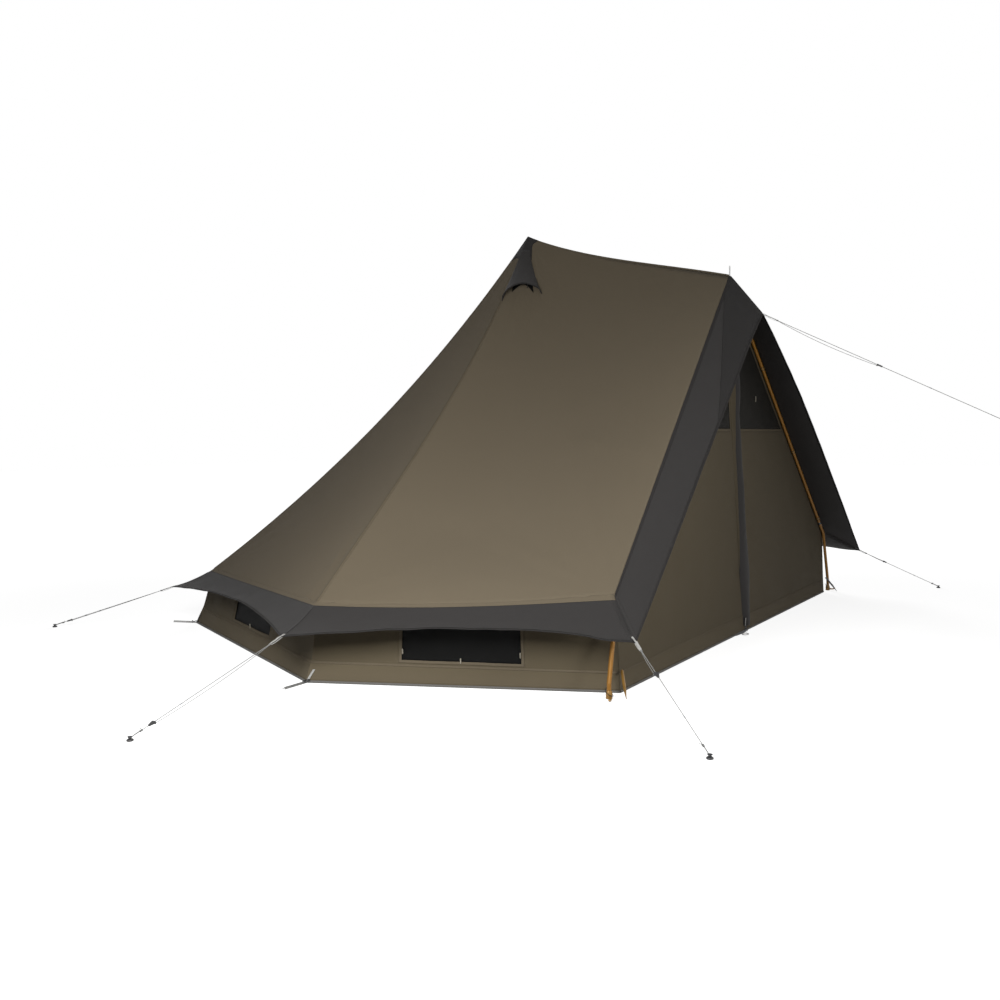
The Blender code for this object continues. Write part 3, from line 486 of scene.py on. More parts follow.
def grid(columns, rows, place, chart, side=LEFT):
    """A grid of quads whose points place(u, v) gives, with chart(u, v, face's u) as its map in metres."""
    shape = bmesh.new()
    layer = shape.loops.layers.uv.new("Cloth")
    bmesh.ops.create_grid(shape, x_segments=columns, y_segments=rows, size=0.5)
    for face in shape.faces:
        middle = face.calc_center_median().x + 0.5
        for loop in face.loops:
            u, v = loop.vert.co.x + 0.5, loop.vert.co.y + 0.5
            loop[layer].uv = chart(u, v, middle)
    for vert in shape.verts:
        vert.co = flip(place(vert.co.x + 0.5, vert.co.y + 0.5), side)
    if side == RIGHT:
        turn_over(shape)
    bmesh.ops.remove_doubles(shape, verts=shape.verts, dist=0.00001)
    return shape


def flat_map(wide, tall):
    """A map of the cloth that is so many metres wide and tall."""
    return lambda u, v, _: (u * wide, v * tall)


def drop_faces(shape, unwanted):
    """Cut away the faces that a test picks out."""
    bmesh.ops.delete(shape, geom=[face for face in shape.faces if unwanted(face)], context="FACES")


def face_out(shape, out):
    """Turn a sheet's faces over where they look away from a direction."""
    shape.faces.ensure_lookup_table()
    if shape.faces[0].normal.dot(out) < 0:
        turn_over(shape)


def both(make):
    """What a function makes on the left and on the right."""
    return [make(label, side) for label, side in SIDES.items()]


def thick(item, depth, offset=-1):
    """Give a sheet its thickness for good: inward by default, outward with offset 1."""
    change = item.modifiers.new("Thickness", "SOLIDIFY")
    change.thickness = depth
    change.offset = offset
    change.use_even_offset = False
    bpy.context.view_layer.update()
    drawn = item.evaluated_get(bpy.context.evaluated_depsgraph_get())
    mesh = bpy.data.meshes.new_from_object(drawn)
    old = item.data
    item.modifiers.clear()
    item.data = mesh
    bpy.data.meshes.remove(old)
    mesh.name = item.name
    return item


def route_frames(route):
    """A square frame at each point of a route, carried along without twisting."""
    points = [Vector(p) for p in route]
    ways = []
    for k in range(len(points)):
        before, after = points[max(k - 1, 0)], points[min(k + 1, len(points) - 1)]
        ways.append((after - before).normalized())
    side = ways[0].orthogonal().normalized()
    if abs(ways[0].z) < 0.99:
        side = ways[0].cross(UP).normalized()
    frames = []
    for point, way in zip(points, ways):
        side = (side - way * side.dot(way)).normalized()
        frames.append((point, way, side, way.cross(side)))
    return frames


def runs_of(route):
    """How far along a line each of its points lies."""
    runs = [0.0]
    for a, b in zip(route, route[1:]):
        runs.append(runs[-1] + (Vector(b) - Vector(a)).length)
    return runs


def tube(name, route, radius, finish, body="tent", sides=10, wide=1.0, swell=None, capped=True, **named):
    """A round or flattened rod along a route, with its map in metres around and along it."""
    frames = route_frames(route)
    rows = len(frames) - 1
    places = runs_of(route)

    def place(u, v):
        k = round(v * rows)
        point, _, across, up = frames[k]
        grown = radius * (swell(k / rows) if swell else 1)
        angle = 2 * math.pi * round(u * sides) / sides
        return point + across * math.cos(angle) * grown * wide + up * math.sin(angle) * grown

    def chart(u, v, _):
        return (u * 2 * math.pi * radius, places[round(v * rows)])

    shape = grid(sides, rows, place, chart)
    if capped:
        edges = [e for e in shape.edges if e.is_boundary]
        bmesh.ops.holes_fill(shape, edges=edges, sides=0)
    faces_outward(shape)
    return piece(name, shape, finish, body, angle=50, **named)


def ring(name, centre, normal, radius, wire, finish, body="tent", stretch=1.0, along=None):
    """A closed ring of round wire, which may be longer one way."""
    normal = normal.normalized()
    first = (along - normal * along.dot(normal)).normalized() if along else normal.orthogonal().normalized()
    second = normal.cross(first)

    def place(u, v):
        turn, tilt = 2 * math.pi * u, 2 * math.pi * v
        out = first * math.cos(turn) + second * math.sin(turn)
        middle = centre + first * math.cos(turn) * radius * stretch + second * math.sin(turn) * radius
        return middle + out * math.cos(tilt) * wire + normal * math.sin(tilt) * wire

    shape = grid(28, 8, place, lambda u, v, _: (v * 2 * math.pi * wire, u * 2 * math.pi * radius))
    faces_outward(shape)
    return piece(name, shape, finish, body)


COIL_PITCH = 2.1
COIL_STEPS = 14


def coil(name, start, way, radius, turns, wire, finish, body="tent"):
    """A few turns of cord round another, as in a whipping or a knot."""
    way = way.normalized()
    side = way.orthogonal().normalized()
    up = way.cross(side)
    count = turns * COIL_STEPS
    route = []
    for k in range(count + 1):
        angle = 2 * math.pi * turns * k / count
        lump = radius * (1 + 0.10 * math.sin(angle * 0.37))
        place = start + way * (wire * COIL_PITCH * turns * k / count)
        route.append(place + side * math.cos(angle) * lump + up * math.sin(angle) * lump)
    return tube(name, route, wire, finish, body, sides=7)


def bevelled(shape, width, segments):
    """Round a shape's edges."""
    rounding = {"offset": width, "offset_type": "OFFSET", "affect": "EDGES", "segments": segments}
    bmesh.ops.bevel(shape, geom=shape.edges[:], profile=0.5, material=-1, clamp_overlap=True, **rounding)


def slab(outline, depth):
    """A flat outline of points pushed along depth."""
    shape = bmesh.new()
    verts = [shape.verts.new(p) for p in outline]
    shape.faces.new(verts)
    pushed = bmesh.ops.extrude_face_region(shape, geom=shape.faces[:])
    moved = [e for e in pushed["geom"] if isinstance(e, bmesh.types.BMVert)]
    bmesh.ops.translate(shape, verts=moved, vec=depth)
    faces_outward(shape)
    return shape


# The tent's surfaces


def seam_point(name, share):
    """A point on a left-hand roof seam, from the apex at 0 to its lower end at 1."""
    end, sag, skew = SEAMS[name]
    point = APEX.lerp(end, share)
    point.z -= sag * arch(share) * (1 + skew * (1 - 2 * share))
    return point


def panel(first, second, share, across):
    """A point on the left-hand panel between two seams."""
    if first == "rear" and second == "rear":
        point = seam_point("rear", share)
        return point.lerp(flip(point, -1), across)
    point = seam_point(first, share).lerp(seam_point(second, share), across)
    if first == "crease":
        point.z -= SIDE_EAVE_SAG * share**4 * arch(across)
    return point


def panel_width(first, second, share):
    """How wide a panel is at a share of its seams."""
    return (panel(first, second, share, 1) - panel(first, second, share, 0)).length


# The roof's panels round the tent: the seams on both sides, the half of the tent and the grid's columns
PANELS = [
    ("ridge", "crease", LEFT, 40),
    ("crease", "mid", LEFT, 48),
    ("mid", "rear", LEFT, 48),
    ("rear", "rear", LEFT, 48),
    ("mid", "rear", RIGHT, 48),
    ("crease", "mid", RIGHT, 48),
    ("ridge", "crease", RIGHT, 40),
]
ROOF_COLUMNS = sum(entry[3] for entry in PANELS)
ROOF_ROWS = 96


def roof_spot(u):
    """The panel under a place round the roof, its side, and how far across it the place is."""
    column = u * ROOF_COLUMNS
    for first, second, side, count in PANELS:
        if column <= count + 0.0001:
            across = column / count
            return first, second, side, on_side(across, side)
        column -= count
    return "ridge", "crease", RIGHT, 0.0


SEAM_RUN = 2.6
PANEL_SEEDS = {"ridge": 3.1, "crease": 7.7, "mid": 13.3, "rear": 19.9}
# How deep a panel hollows for its width, and the share of the way down at which that starts to fade
HOLLOWS = {"ridge": (0.018, 0.35), "crease": (0.034, 0.80)}
FOLD_START = Vector((-0.930, -0.827, 1.103))
FOLD_END = Vector((-1.0185, -1.391, 1.000))
FOLD_HEIGHT, FOLD_WIDTH = 0.0075, 0.030
SEAM_PUCKER, EAVE_PUCKER = 0.0016, 0.0022
CORNER_FOLD, APEX_FOLD = 0.0055, 0.0038
BROAD_SWELL, HIP_HOLLOW = 0.004, 0.0090


def tension(first, second, share, across, side):
    """How far the taut cloth stands from its even surface: folds from the corners and puckers at seams."""
    width = max(panel_width(first, second, share), 0.001)
    from_first, from_second = across * width, (1 - across) * width
    away = min(from_first, from_second)
    below = (1 - share) * SEAM_RUN
    seed = PANEL_SEEDS[first] + (0 if side == LEFT else 40)
    height = 0.0
    pucker = ripple(share * 34, seed, 0) + 0.6 * ripple(share * 77, seed, 5)
    height += SEAM_PUCKER * pucker * math.exp(-away / 0.045) * smooth(0.03, 0.12, share)
    for corner_away, corner_below, shift in ((from_first, below, 0.0), (from_second, below, 9.0)):
        reach = math.hypot(corner_away, corner_below)
        angle = math.atan2(corner_away, corner_below + 0.0001)
        fold = ripple(angle * 6.5, seed + shift, 1)
        height += CORNER_FOLD * fold * math.exp(-reach / 0.55) * smooth(0.02, 0.16, reach)
    fold = ripple(across * 9.0, seed, 2)
    height += APEX_FOLD * fold * math.exp(-share / 0.16) * smooth(0.02, 0.08, share)
    height += BROAD_SWELL * ripple(across * 2.1, share * 2.4, seed) * smooth(0, 0.2, away)
    hem = ripple(across * width * 7.0, seed, 6)
    height += EAVE_PUCKER * hem * math.exp(-below / 0.09)
    if first in HOLLOWS:
        depth, fade = HOLLOWS[first]
        hollow = depth * width * arch(across)
        height -= hollow * smooth(0.05, 0.25, share) * (1 - smooth(fade, 0.985, share))
    if first == "ridge" and share > 0.55 and across > 0.5:
        point = panel(first, second, share, across)
        run = FOLD_END - FOLD_START
        part = (point - FOLD_START).dot(run) / run.length_squared
        away_from_fold = (point - FOLD_START - run * part).length
        ends = smooth(-0.02, 0.3, part) * (1 - smooth(0.75, 1.02, part))
        height += FOLD_HEIGHT * math.exp(-((away_from_fold / FOLD_WIDTH) ** 2)) * ends
    if first == "mid":
        hollow = math.exp(-(((from_first - 0.045) / 0.030) ** 2))
        height -= HIP_HOLLOW * hollow * smooth(0.74, 0.93, share)
    edge = smooth(0.0, 0.02, away) * smooth(0.0, 0.02, below)
    return height * (0.35 + 0.65 * edge)


def roof_normal(first, second, share, across):
    """The outward direction of a left-hand panel."""
    low, high = max(share - 0.01, 0.002), min(share + 0.01, 1)
    near, far = max(across - 0.02, 0), min(across + 0.02, 1)
    down = panel(first, second, high, across) - panel(first, second, low, across)
    round_tent = panel(first, second, share, far) - panel(first, second, share, near)
    return round_tent.cross(down).normalized()


def roof_place(u, v):
    """A point of the roof's one big sheet."""
    first, second, side, across = roof_spot(u)
    point = panel(first, second, v, across)
    if v > 0.004:
        point = point + roof_normal(first, second, v, across) * tension(first, second, v, across, side)
    if across < 0.0001 and first == "ridge":
        point.x = 0
    return flip(point, side)


def roof_chart(u, v, middle):
    """The roof's cloth in metres: each panel has its own, with its threads along its middle."""
    first, second, _, _ = roof_spot(middle)
    counts = 0
    for entry in PANELS:
        if middle * ROOF_COLUMNS <= counts + entry[3]:
            break
        counts += entry[3]
    across = (u * ROOF_COLUMNS - counts) / entry[3]
    return ((across - 0.5) * panel_width(first, second, v) + counts * 0.07, v * SEAM_RUN)


def roof():
    """The roof, as one continuous sheet round the apex."""
    shape = grid(ROOF_COLUMNS, ROOF_ROWS, roof_place, roof_chart)
    for reach, passes in ((0.95, 1), (0.36, 3)):
        crease = []
        for vert in shape.verts:
            share = vert.co.y / FRONT_EAVE.y
            if vert.co.y < 0 and 0.1 < share < reach:
                line = seam_point("crease", share)
                if abs(line.x + abs(vert.co.x)) < 0.075 and vert.co.z > 0.46:
                    crease.append(vert)
        for _ in range(passes):
            axes = {"use_axis_" + axis: True for axis in "xyz"}
            bmesh.ops.smooth_vert(shape, verts=crease, factor=0.5, **axes)
    nodes = ["roof_left", "roof_right", "roof_rear_left", "roof_rear_right", "roof_rear"]
    return thick(piece("roof", shape, "canvas", slot="canvas", nodes=nodes, angle=12), CLOTH_THICK)


roof_sheet = roof()


# The spans between the valance's tips: each end's eave corner and tip, the half of the tent and the sag
EAVES = [
    (FRONT_EAVE, FRONT_TIP, MID_EAVE, MID_TIP, LEFT, SIDE_EAVE_SAG),
    (MID_EAVE, MID_TIP, REAR_EAVE, REAR_TIP, LEFT, 0),
    (REAR_EAVE, REAR_TIP, flip(REAR_EAVE, -1), flip(REAR_TIP, -1), LEFT, 0),
    (REAR_EAVE, REAR_TIP, MID_EAVE, MID_TIP, RIGHT, 0),
    (MID_EAVE, MID_TIP, FRONT_EAVE, FRONT_TIP, RIGHT, SIDE_EAVE_SAG),
]
EAVE_COLUMNS, EAVE_ROWS = 44, 14
VALANCE_BELLY, VALANCE_FOLD = 0.012, 0.0045
PORCH_BELLY, PORCH_FOLD = 0.010, 0.0040
PORCH_DROP, PORCH_RISE, PORCH_SWING = 0.231, 0.054, 0.080


def eave_pair(u):
    """The eave point and the valance's edge point at a place round the tent, from the front left corner."""
    place = min(u * len(EAVES), len(EAVES) - 0.000001)
    corner_a, tip_a, corner_b, tip_b, side, hang = EAVES[int(place)]
    share = place - int(place)
    bow = arch(share)
    eave = corner_a.lerp(corner_b, share) - UP * hang * bow
    reach = tip_a.lerp(tip_b, share) * (1 - SCALLOP * bow)
    front = min(u, 1 - u) * len(EAVES)
    swell = math.exp(-(((front - 0.07) / 0.05) ** 2)) * smooth(0, 0.04, front)
    reach *= 1 + TIP_SWELL * math.exp(-front / 0.2) + 0.055 * swell
    return flip(eave, side), flip(eave + reach, side)


def tuck(v):
    """How far the sewn edge of a strip lies under the cloth above it."""
    return UP * 0.0016 * (1 - smooth(0.0, 0.08, v))


def valance_place(u, v):
    """A point of the dark strip that hangs out from the eaves."""
    eave, edge = eave_pair(u)
    point = eave.lerp(edge, v)
    fold = ripple(u * 40, v * 0.8, 3) + 0.5 * ripple(u * 110, v * 1.5, 8)
    point.z += VALANCE_FOLD * fold * smooth(0.0, 0.5, v) - VALANCE_BELLY * arch(v)
    return point - tuck(v)


def valance():
    """The valance, as one strip from the front left corner round the back to the front right."""
    shape = grid(len(EAVES) * EAVE_COLUMNS, EAVE_ROWS, valance_place, flat_map(8.4, 0.20))
    nodes = ["valance_left", "valance_right", "valance_rear"]
    return thick(piece("valance", shape, "charcoal", slot="charcoal", nodes=nodes, angle=14), CLOTH_THICK)


def porch_edge(share):
    """From the A-frame seam to the porch's free edge, with the foot at 0 and the ridge at 1."""
    low = 1 - share
    drop = -FRONT_TIP.z * low * low - 2 * PORCH_RISE * low * share + PORCH_DROP * share * share
    wider = 1 + TIP_SWELL * smooth(0, 0.4, low)
    return Vector((FRONT_TIP.x * low**3 + PORCH_SWING * low * share, FRONT_TIP.y, -drop)) * wider


def porch_place(u, v):
    """A point of the strip in front of the A-frame, from the left foot over the ridge to the right foot."""
    side = LEFT if u <= 0.5 else RIGHT
    share = 2 * u if u <= 0.5 else 2 - 2 * u
    place = FRONT_EAVE.lerp(RIDGE_FRONT, share)
    point = place + porch_edge(share) * v
    fold = ripple(u * 17, v * 0.7, 23) + 0.5 * ripple(u * 45, v * 1.2, 28)
    bend = smooth(0, 0.06, share) * smooth(0, 0.05, 1 - share)
    belly = (PORCH_BELLY * arch(v) + PORCH_FOLD * fold * smooth(0.05, 0.5, v)) * bend
    out = Vector((-0.68, -0.1, 0.70))
    point = point - out * belly - tuck(v)
    if share > 0.9999:
        point.x = 0
    return flip(point, side)


def porch():
    """The porch strip, as one piece of cloth over the ridge."""
    shape = grid(180, EAVE_ROWS, porch_place, flat_map(-4.5, 0.21))
    turn_over(shape)
    nodes = ["porch_left", "porch_right"]
    return thick(piece("porch", shape, "charcoal", slot="charcoal", nodes=nodes, angle=14), CLOTH_THICK)


valance_sheet = valance()
porch_sheet = porch()


# Low walls


# Each low wall: its name, ground corners, the roof seams over its ends, half of the tent, window's width
WALLS = [
    ("left", FRONT_GROUND, MID_GROUND, ("crease", "mid"), LEFT, 0.554),
    ("rear_left", MID_GROUND, REAR_GROUND, ("mid", "rear"), LEFT, 0.554),
    ("rear", REAR_GROUND, flip(REAR_GROUND, -1), ("rear", "rear"), LEFT, 0.90),
    ("rear_right", REAR_GROUND, MID_GROUND, ("mid", "rear"), RIGHT, 0.554),
    ("right", MID_GROUND, FRONT_GROUND, ("crease", "mid"), RIGHT, 0.554),
]
WINDOW_LOW, WINDOW_HIGH = 0.110, 0.270
WALL_DROP = 0.0042
WALL_FOLD, WALL_PUCKER = 0.005, 0.0018
MID_PULL, REAR_PULL = Vector((-0.030, 0, 0)), Vector((-0.010, 0.015, 0))


def corner_pull(corner):
    """How far a wall's lower corner is drawn out toward its peg."""
    if corner.y < MID_GROUND.y - 0.5:
        return Vector()
    pull = MID_PULL if corner.y < REAR_GROUND.y - 0.5 else REAR_PULL
    return Vector((math.copysign(pull.x, corner.x), pull.y, 0))


def wall_spot(entry, across, height):
    """A point of a low wall, at a share of its length and a share of its height."""
    _, start, end, (first, second), side, _ = entry
    part = on_side(across, side)
    low_a, low_b = (start, end) if side == LEFT else (end, start)
    if entry[0] in ("left", "right") and part < 0.02:
        low_a = low_a + Vector((0, 0.0025, 0))
    foot = low_a.lerp(low_b, part)
    head = panel(first, second, 0.9955, part) - UP * WALL_DROP
    point = flip(foot.lerp(head, height), side)
    pull = corner_pull(low_a).lerp(corner_pull(low_b), part)
    return point + flip(pull, side) * (1 - smooth(0, 0.38, height))


def wall_out(entry, across):
    """Straight out from a wall, level."""
    run = wall_spot(entry, min(across + 0.02, 1), 0) - wall_spot(entry, max(across - 0.02, 0), 0)
    return Vector((-run.y, run.x, 0)).normalized()


def wall_length(entry):
    """A wall's length along the ground."""
    return (entry[2] - entry[1]).length


def wall_window(entry):
    """The shares of a wall's length between which its window lies."""
    half = entry[5] / wall_length(entry) / 2
    return 0.5 - half, 0.5 + half


def wall_columns(entry):
    """The places of the columns along a wall, with two of them on the window's sides."""
    return divided([0, *wall_window(entry), 1], [12, 20, 12])


HEIGHTS = [0, 0.02, 0.045, 0.07, 0.09, 0.1, WINDOW_LOW, 0.14, 0.17, 0.2, 0.235, WINDOW_HIGH, 0.285, 0.3, None]


def wall_point(entry, across, level, lift=0.0):
    """A point of a wall's cloth at a height, with its soft folds; None is the top."""
    head = wall_spot(entry, across, 1)
    point = wall_spot(entry, across, 1 if level is None else level / head.z)
    level = head.z if level is None else level
    seed = len(entry[0]) * 5.3 + (0 if entry[4] == LEFT else 31)
    place = across * wall_length(entry)
    soft = ripple(place * 5, level * 6, seed) * WALL_FOLD
    soft += ripple(place * 17, level * 9, seed + 7) * WALL_PUCKER
    free = smooth(0, 0.06, level) * smooth(0, 0.05, head.z - level)
    free *= smooth(0, 0.04, across) * smooth(0, 0.04, 1 - across)
    return point + wall_out(entry, across) * ((soft - 0.002) * free + lift)


def low_walls():
    """The walls as one skirt of cloth with a hole for each window."""
    columns = []
    for entry in WALLS:
        places = wall_columns(entry)
        columns += [(entry, p) for p in (places if entry is WALLS[-1] else places[:-1])]
    total, rows = len(columns) - 1, len(HEIGHTS) - 1
    starts = [0.0]
    for entry in WALLS:
        starts.append(starts[-1] + wall_length(entry))

    def spot(u):
        return columns[round(u * total)]

    def place(u, v):
        return wall_point(*spot(u), HEIGHTS[rows - round(v * rows)])

    def chart(u, v, middle):
        entry, across = spot(u)
        run = starts[WALLS.index(entry)] + across * wall_length(entry)
        height = HEIGHTS[rows - round(v * rows)]
        return (run, 0.345 if height is None else height)

    shape = grid(total, rows, place, chart)
    layer = shape.loops.layers.uv["Cloth"]

    def in_window(face):
        run, level = sum((loop[layer].uv for loop in face.loops), Vector((0, 0))) / len(face.loops)
        for entry, start in zip(WALLS, starts):
            low, high = (start + p * wall_length(entry) for p in wall_window(entry))
            if low < run < high and WINDOW_LOW < level < WINDOW_HIGH:
                return True
        return False

    drop_faces(shape, in_window)
    nodes = ["wall_" + entry[0] for entry in WALLS]
    return thick(piece("low_walls", shape, "wall", slot="canvas", nodes=nodes, angle=20), CLOTH_THICK)


def window_mesh(entry):
    """The dark mesh of one window, sewn behind its opening and a little slack."""
    low, high = wall_window(entry)
    step = 0.010 / wall_length(entry)
    seed = len(entry[0]) * 3.1

    def place(u, v):
        across = low - step + (high - low + 2 * step) * u
        level = WINDOW_HIGH + 0.010 - (WINDOW_HIGH - WINDOW_LOW + 0.020) * v
        point = wall_spot(entry, across, level / wall_spot(entry, across, 1).z)
        slack = arch(u) * arch(v)
        soft = ripple(u * 3.2, v * 1.3, seed) * 0.004
        return point - wall_out(entry, across) * (0.0052 + 0.0035 * slack + soft * slack)

    shape = grid(24, 8, place, flat_map(entry[5] + 0.02, 0.18))
    return thick(piece("window_mesh_" + entry[0], shape, "netting", slot="charcoal", angle=25), THIN_CLOTH)


low_wall_sheet = low_walls()
window_sheets = [window_mesh(entry) for entry in WALLS]


# Vents and the apex


HOOD_LOW, HOOD_HIGH, HOOD_THICK = 0.034, 0.158, 0.0014
HOOD_OUT = Vector((-0.45, -0.05, 0.89))
CAP_REACH, CAP_THICK = 0.058, 0.0016


def hood_place(side, lift):
    """A function for a hood's points: sewn along both edges, with its lower edge lifted in an arch."""

    def place(u, v):
        share = HOOD_LOW + (HOOD_HIGH + 0.022 * (u - 0.5) - HOOD_LOW) * v
        across = 0.06 * (1 - v) - 0.15 * v * (1 - u) ** 2 + 0.96 * u
        rise = math.sin(math.pi * min(max(u, 0), 1)) ** 0.5
        flare = v**1.5
        point = panel("crease", "mid", share, across) + HOOD_OUT * 0.085 * flare * rise
        fold = ripple(u * 4.2, v * 2.2, 50 + side)
        return point + UP * (0.0050 + lift + 0.002 * fold * rise * v)

    return place


def hood(label, side):
    """One vent hood with its piping and the small stay that holds it open."""
    shape = grid(30, 18, hood_place(side, 0), flat_map(0.3, 0.3), side)
    nodes = ["vent_hood_" + label]
    made = piece("vent_hood_cloth_" + label, shape, "charcoal", slot="charcoal", nodes=nodes, angle=30)
    thick(made, HOOD_THICK)
    spots = [flip(hood_place(side, -0.0006)(k / 30, 1), side) for k in range(31)]
    piping = tube("hood_piping_" + label, spots, 0.0028, "charcoal_seam", sides=8)

    # A black mesh patch laid on the roof under the hood, with no opening behind it: the vent's mesh, and
    # painted shade under the hood's arch.
    def inner(u, v):
        share = 0.070 + (0.052 + 0.022 * (2 * u - 1) ** 2) * v
        return panel("crease", "mid", share, 0.10 + 0.80 * u - 0.12 * u * v) + HOOD_OUT * 0.0022

    shape = grid(16, 12, inner, flat_map(0.2, 0.2), side)
    vent = thick(piece("vent_mesh_and_painted_shade_" + label, shape, "netting", slot="charcoal", angle=30), THIN_CLOTH)
    low, high = panel("crease", "mid", 0.130, 0.30), hood_place(side, -0.0015)(0.30, 0.97)
    spots = [flip(low.lerp(high, k / 6), side) for k in range(7)]
    stay = tube("hood_stay_" + label, spots, 0.0022, "black_webbing", sides=8)
    return made, piping, vent, stay


hoods = both(hood)


def apex_cap():
    """The dark reinforcement over the apex, with its stitched edge."""
    columns = 8 * len(PANELS)

    def place(u, v):
        spot = min(u * len(PANELS), len(PANELS) - 0.000001)
        part = spot - int(spot)
        first, second, side, _ = PANELS[int(spot)]
        across = on_side(part, side)
        dip = 0.36 if "crease" in (first, second) else 0.10
        share = CAP_REACH * v * (1 - dip * math.sin(math.pi * part))
        point = panel(first, second, share, across) + UP * (0.0022 + 0.0018 * (1 - v))
        return flip(point, side)

    shape = grid(columns, 10, place, flat_map(0.6, 0.13))
    made = piece("apex_cover", shape, "charcoal_double_and_painted_shade", slot="charcoal", nodes=["apex_cap"], angle=30)
    thick(made, CAP_THICK)
    edge = [place(k / columns, 1) + UP * 0.0002 for k in range(columns + 1)]
    return made, tube("apex_edge", edge, 0.0015, "charcoal_seam", sides=6, capped=False)


apex_cover, apex_edge = apex_cap()


# Floor


def ground_sheet():
    """The floor, laid flat inside the walls."""
    front = FRONT_GROUND + Vector((0.004, 0.006, 0))
    middle = MID_GROUND + MID_PULL + Vector((0.004, 0, 0))
    rear = REAR_GROUND + REAR_PULL + Vector((0.003, -0.004, 0))
    edge = divided([front, middle, rear], [20, 24])
    rows = len(edge) - 1

    def spot(u, v):
        point = edge[round(v * rows)]
        return point.x * (1 - 2 * u), point.y

    def place(u, v):
        x, y = spot(u, v)
        wave = ripple(x * 3, y * 3, 0) + 0.5 * ripple(x * 9, y * 9, 4)
        return Vector((x, y, 0.00125 + 0.0005 * max(min(wave, 1), -1)))

    shape = grid(48, rows, place, lambda u, v, _: spot(u, v))
    face_out(shape, UP)
    return thick(piece("floor_cloth", shape, "floor", slot="groundsheet", nodes=["groundsheet"]), THIN_CLOTH)


floor_cloth = ground_sheet()


# Front wall and its two door leaves


def on_front(x, z, out=0.0):
    """A point of the leaning front wall, out from its face."""
    return Vector((x, FRONT_GROUND.y + WALL_LEAN * z - out, z))


def under_roof(across):
    """Where the front wall meets the underside of the roof, from the ridge to the corner."""
    low, high = 0.9, 1.0
    for _ in range(30):
        share = (low + high) / 2
        point = panel("ridge", "crease", share, across)
        if point.y > FRONT_GROUND.y + WALL_LEAN * point.z:
            low = share
        else:
            high = share
    return point - UP * WALL_DROP


FRONT_SLOPE = [under_roof(k / 60) for k in range(61)]
FRONT_TOP = FRONT_SLOPE[0].z


def front_width(z):
    """Half the front wall's width at a height."""
    corner = FRONT_SLOPE[-1]
    if z <= corner.z:
        part = z / corner.z
        return -(FRONT_GROUND.x + (corner.x - FRONT_GROUND.x) * part)
    for above, below in zip(FRONT_SLOPE, FRONT_SLOPE[1:]):
        if below.z <= z <= above.z:
            part = (above.z - z) / max(above.z - below.z, 0.000001)
            return -(above.x + (below.x - above.x) * part)
    return 0.0


HINGE_TOP = on_front(-0.040, DOOR_TOP)
HINGE_BOTTOM = on_front(-1.450, 0.012)
FOLD_HALF = 0.018


def leaf(item, side):
    """Bake a piece of the front wall in place; its leaf's slanted hinge line is worked out, but nothing folds
    on it.
    """
    line = (HINGE_BOTTOM - HINGE_TOP).normalized()
    face = Vector((0, -1, WALL_LEAN)).normalized()
    inward = line.cross(face).normalized()
    if inward.x < 0:
        inward = -inward
    middle = HINGE_TOP.lerp(HINGE_BOTTOM, 0.5)
    body = "door_left" if side == LEFT else "door_right"
    start, end = middle - inward * FOLD_HALF, middle + inward * FOLD_HALF
    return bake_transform(item, "tent", body, flip(start, side), flip(end, side))


FRONT_FOLD, FRONT_PUCKER = 0.0050, 0.0022
FOOT_FOLD, FOOT_PUCKER = 0.004, 0.0016


def front_soft(x, z, side):
    """How far the front wall's cloth stands out of its plane: folds that hang from the slopes."""
    seed = 61 if side == LEFT else 83
    width = front_width(z)
    soft = FRONT_FOLD * ripple(x * 2.4, z * 1.3, seed)
    soft += FRONT_PUCKER * ripple(x * 9 + z * 3, z * 2.4, seed + 3)
    soft += FOOT_PUCKER * ripple(x * 3, z * 16, seed + 5) * smooth(0, 0.25, 0.6 - z)
    corner = math.hypot(width - x, z)
    turn = math.atan2(z, width - x + 0.001)
    soft += FOOT_FOLD * ripple(turn * 7, seed, 1) * math.exp(-corner / 0.3)
    free = smooth(0, 0.05, width - x) * smooth(0, 0.04, z) * smooth(0.0, 0.05, x)
    return soft * free


ZIP_LINE = -0.0063
SLIDER_HEIGHT = 0.080
WINDOW_TOP = 1.80
ZIP_BORDER, SLOPE_BORDER = 0.078, 0.052
FRONT_LEVELS = [0, 0.02, 0.05] + divided([LOW_SEAM, MESH_LINE, WINDOW_TOP, FRONT_TOP], [36, 22, 5])
ZIP_COLUMNS, MESH_COLUMNS, SLOPE_COLUMNS = 2, 38, 3
FIRST_COLUMN = 0.0045


def mesh_borders(z):
    """The distances from the zip at which a leaf's mesh starts and ends at a height."""
    width = front_width(z)
    return min(ZIP_BORDER, width / 3), width - min(SLOPE_BORDER, width / 3)


def front_column(k, z):
    """The distance of a column from the zip, with two columns on the borders of the mesh."""
    width = front_width(z)
    inner, outer = mesh_borders(z)
    if k <= ZIP_COLUMNS:
        start = FIRST_COLUMN * min(1, width / 0.0135)
        return start + (inner - start) * k / ZIP_COLUMNS
    if k <= ZIP_COLUMNS + MESH_COLUMNS:
        return inner + (outer - inner) * (k - ZIP_COLUMNS) / MESH_COLUMNS
    return outer + (width - outer) * (k - ZIP_COLUMNS - MESH_COLUMNS) / SLOPE_COLUMNS


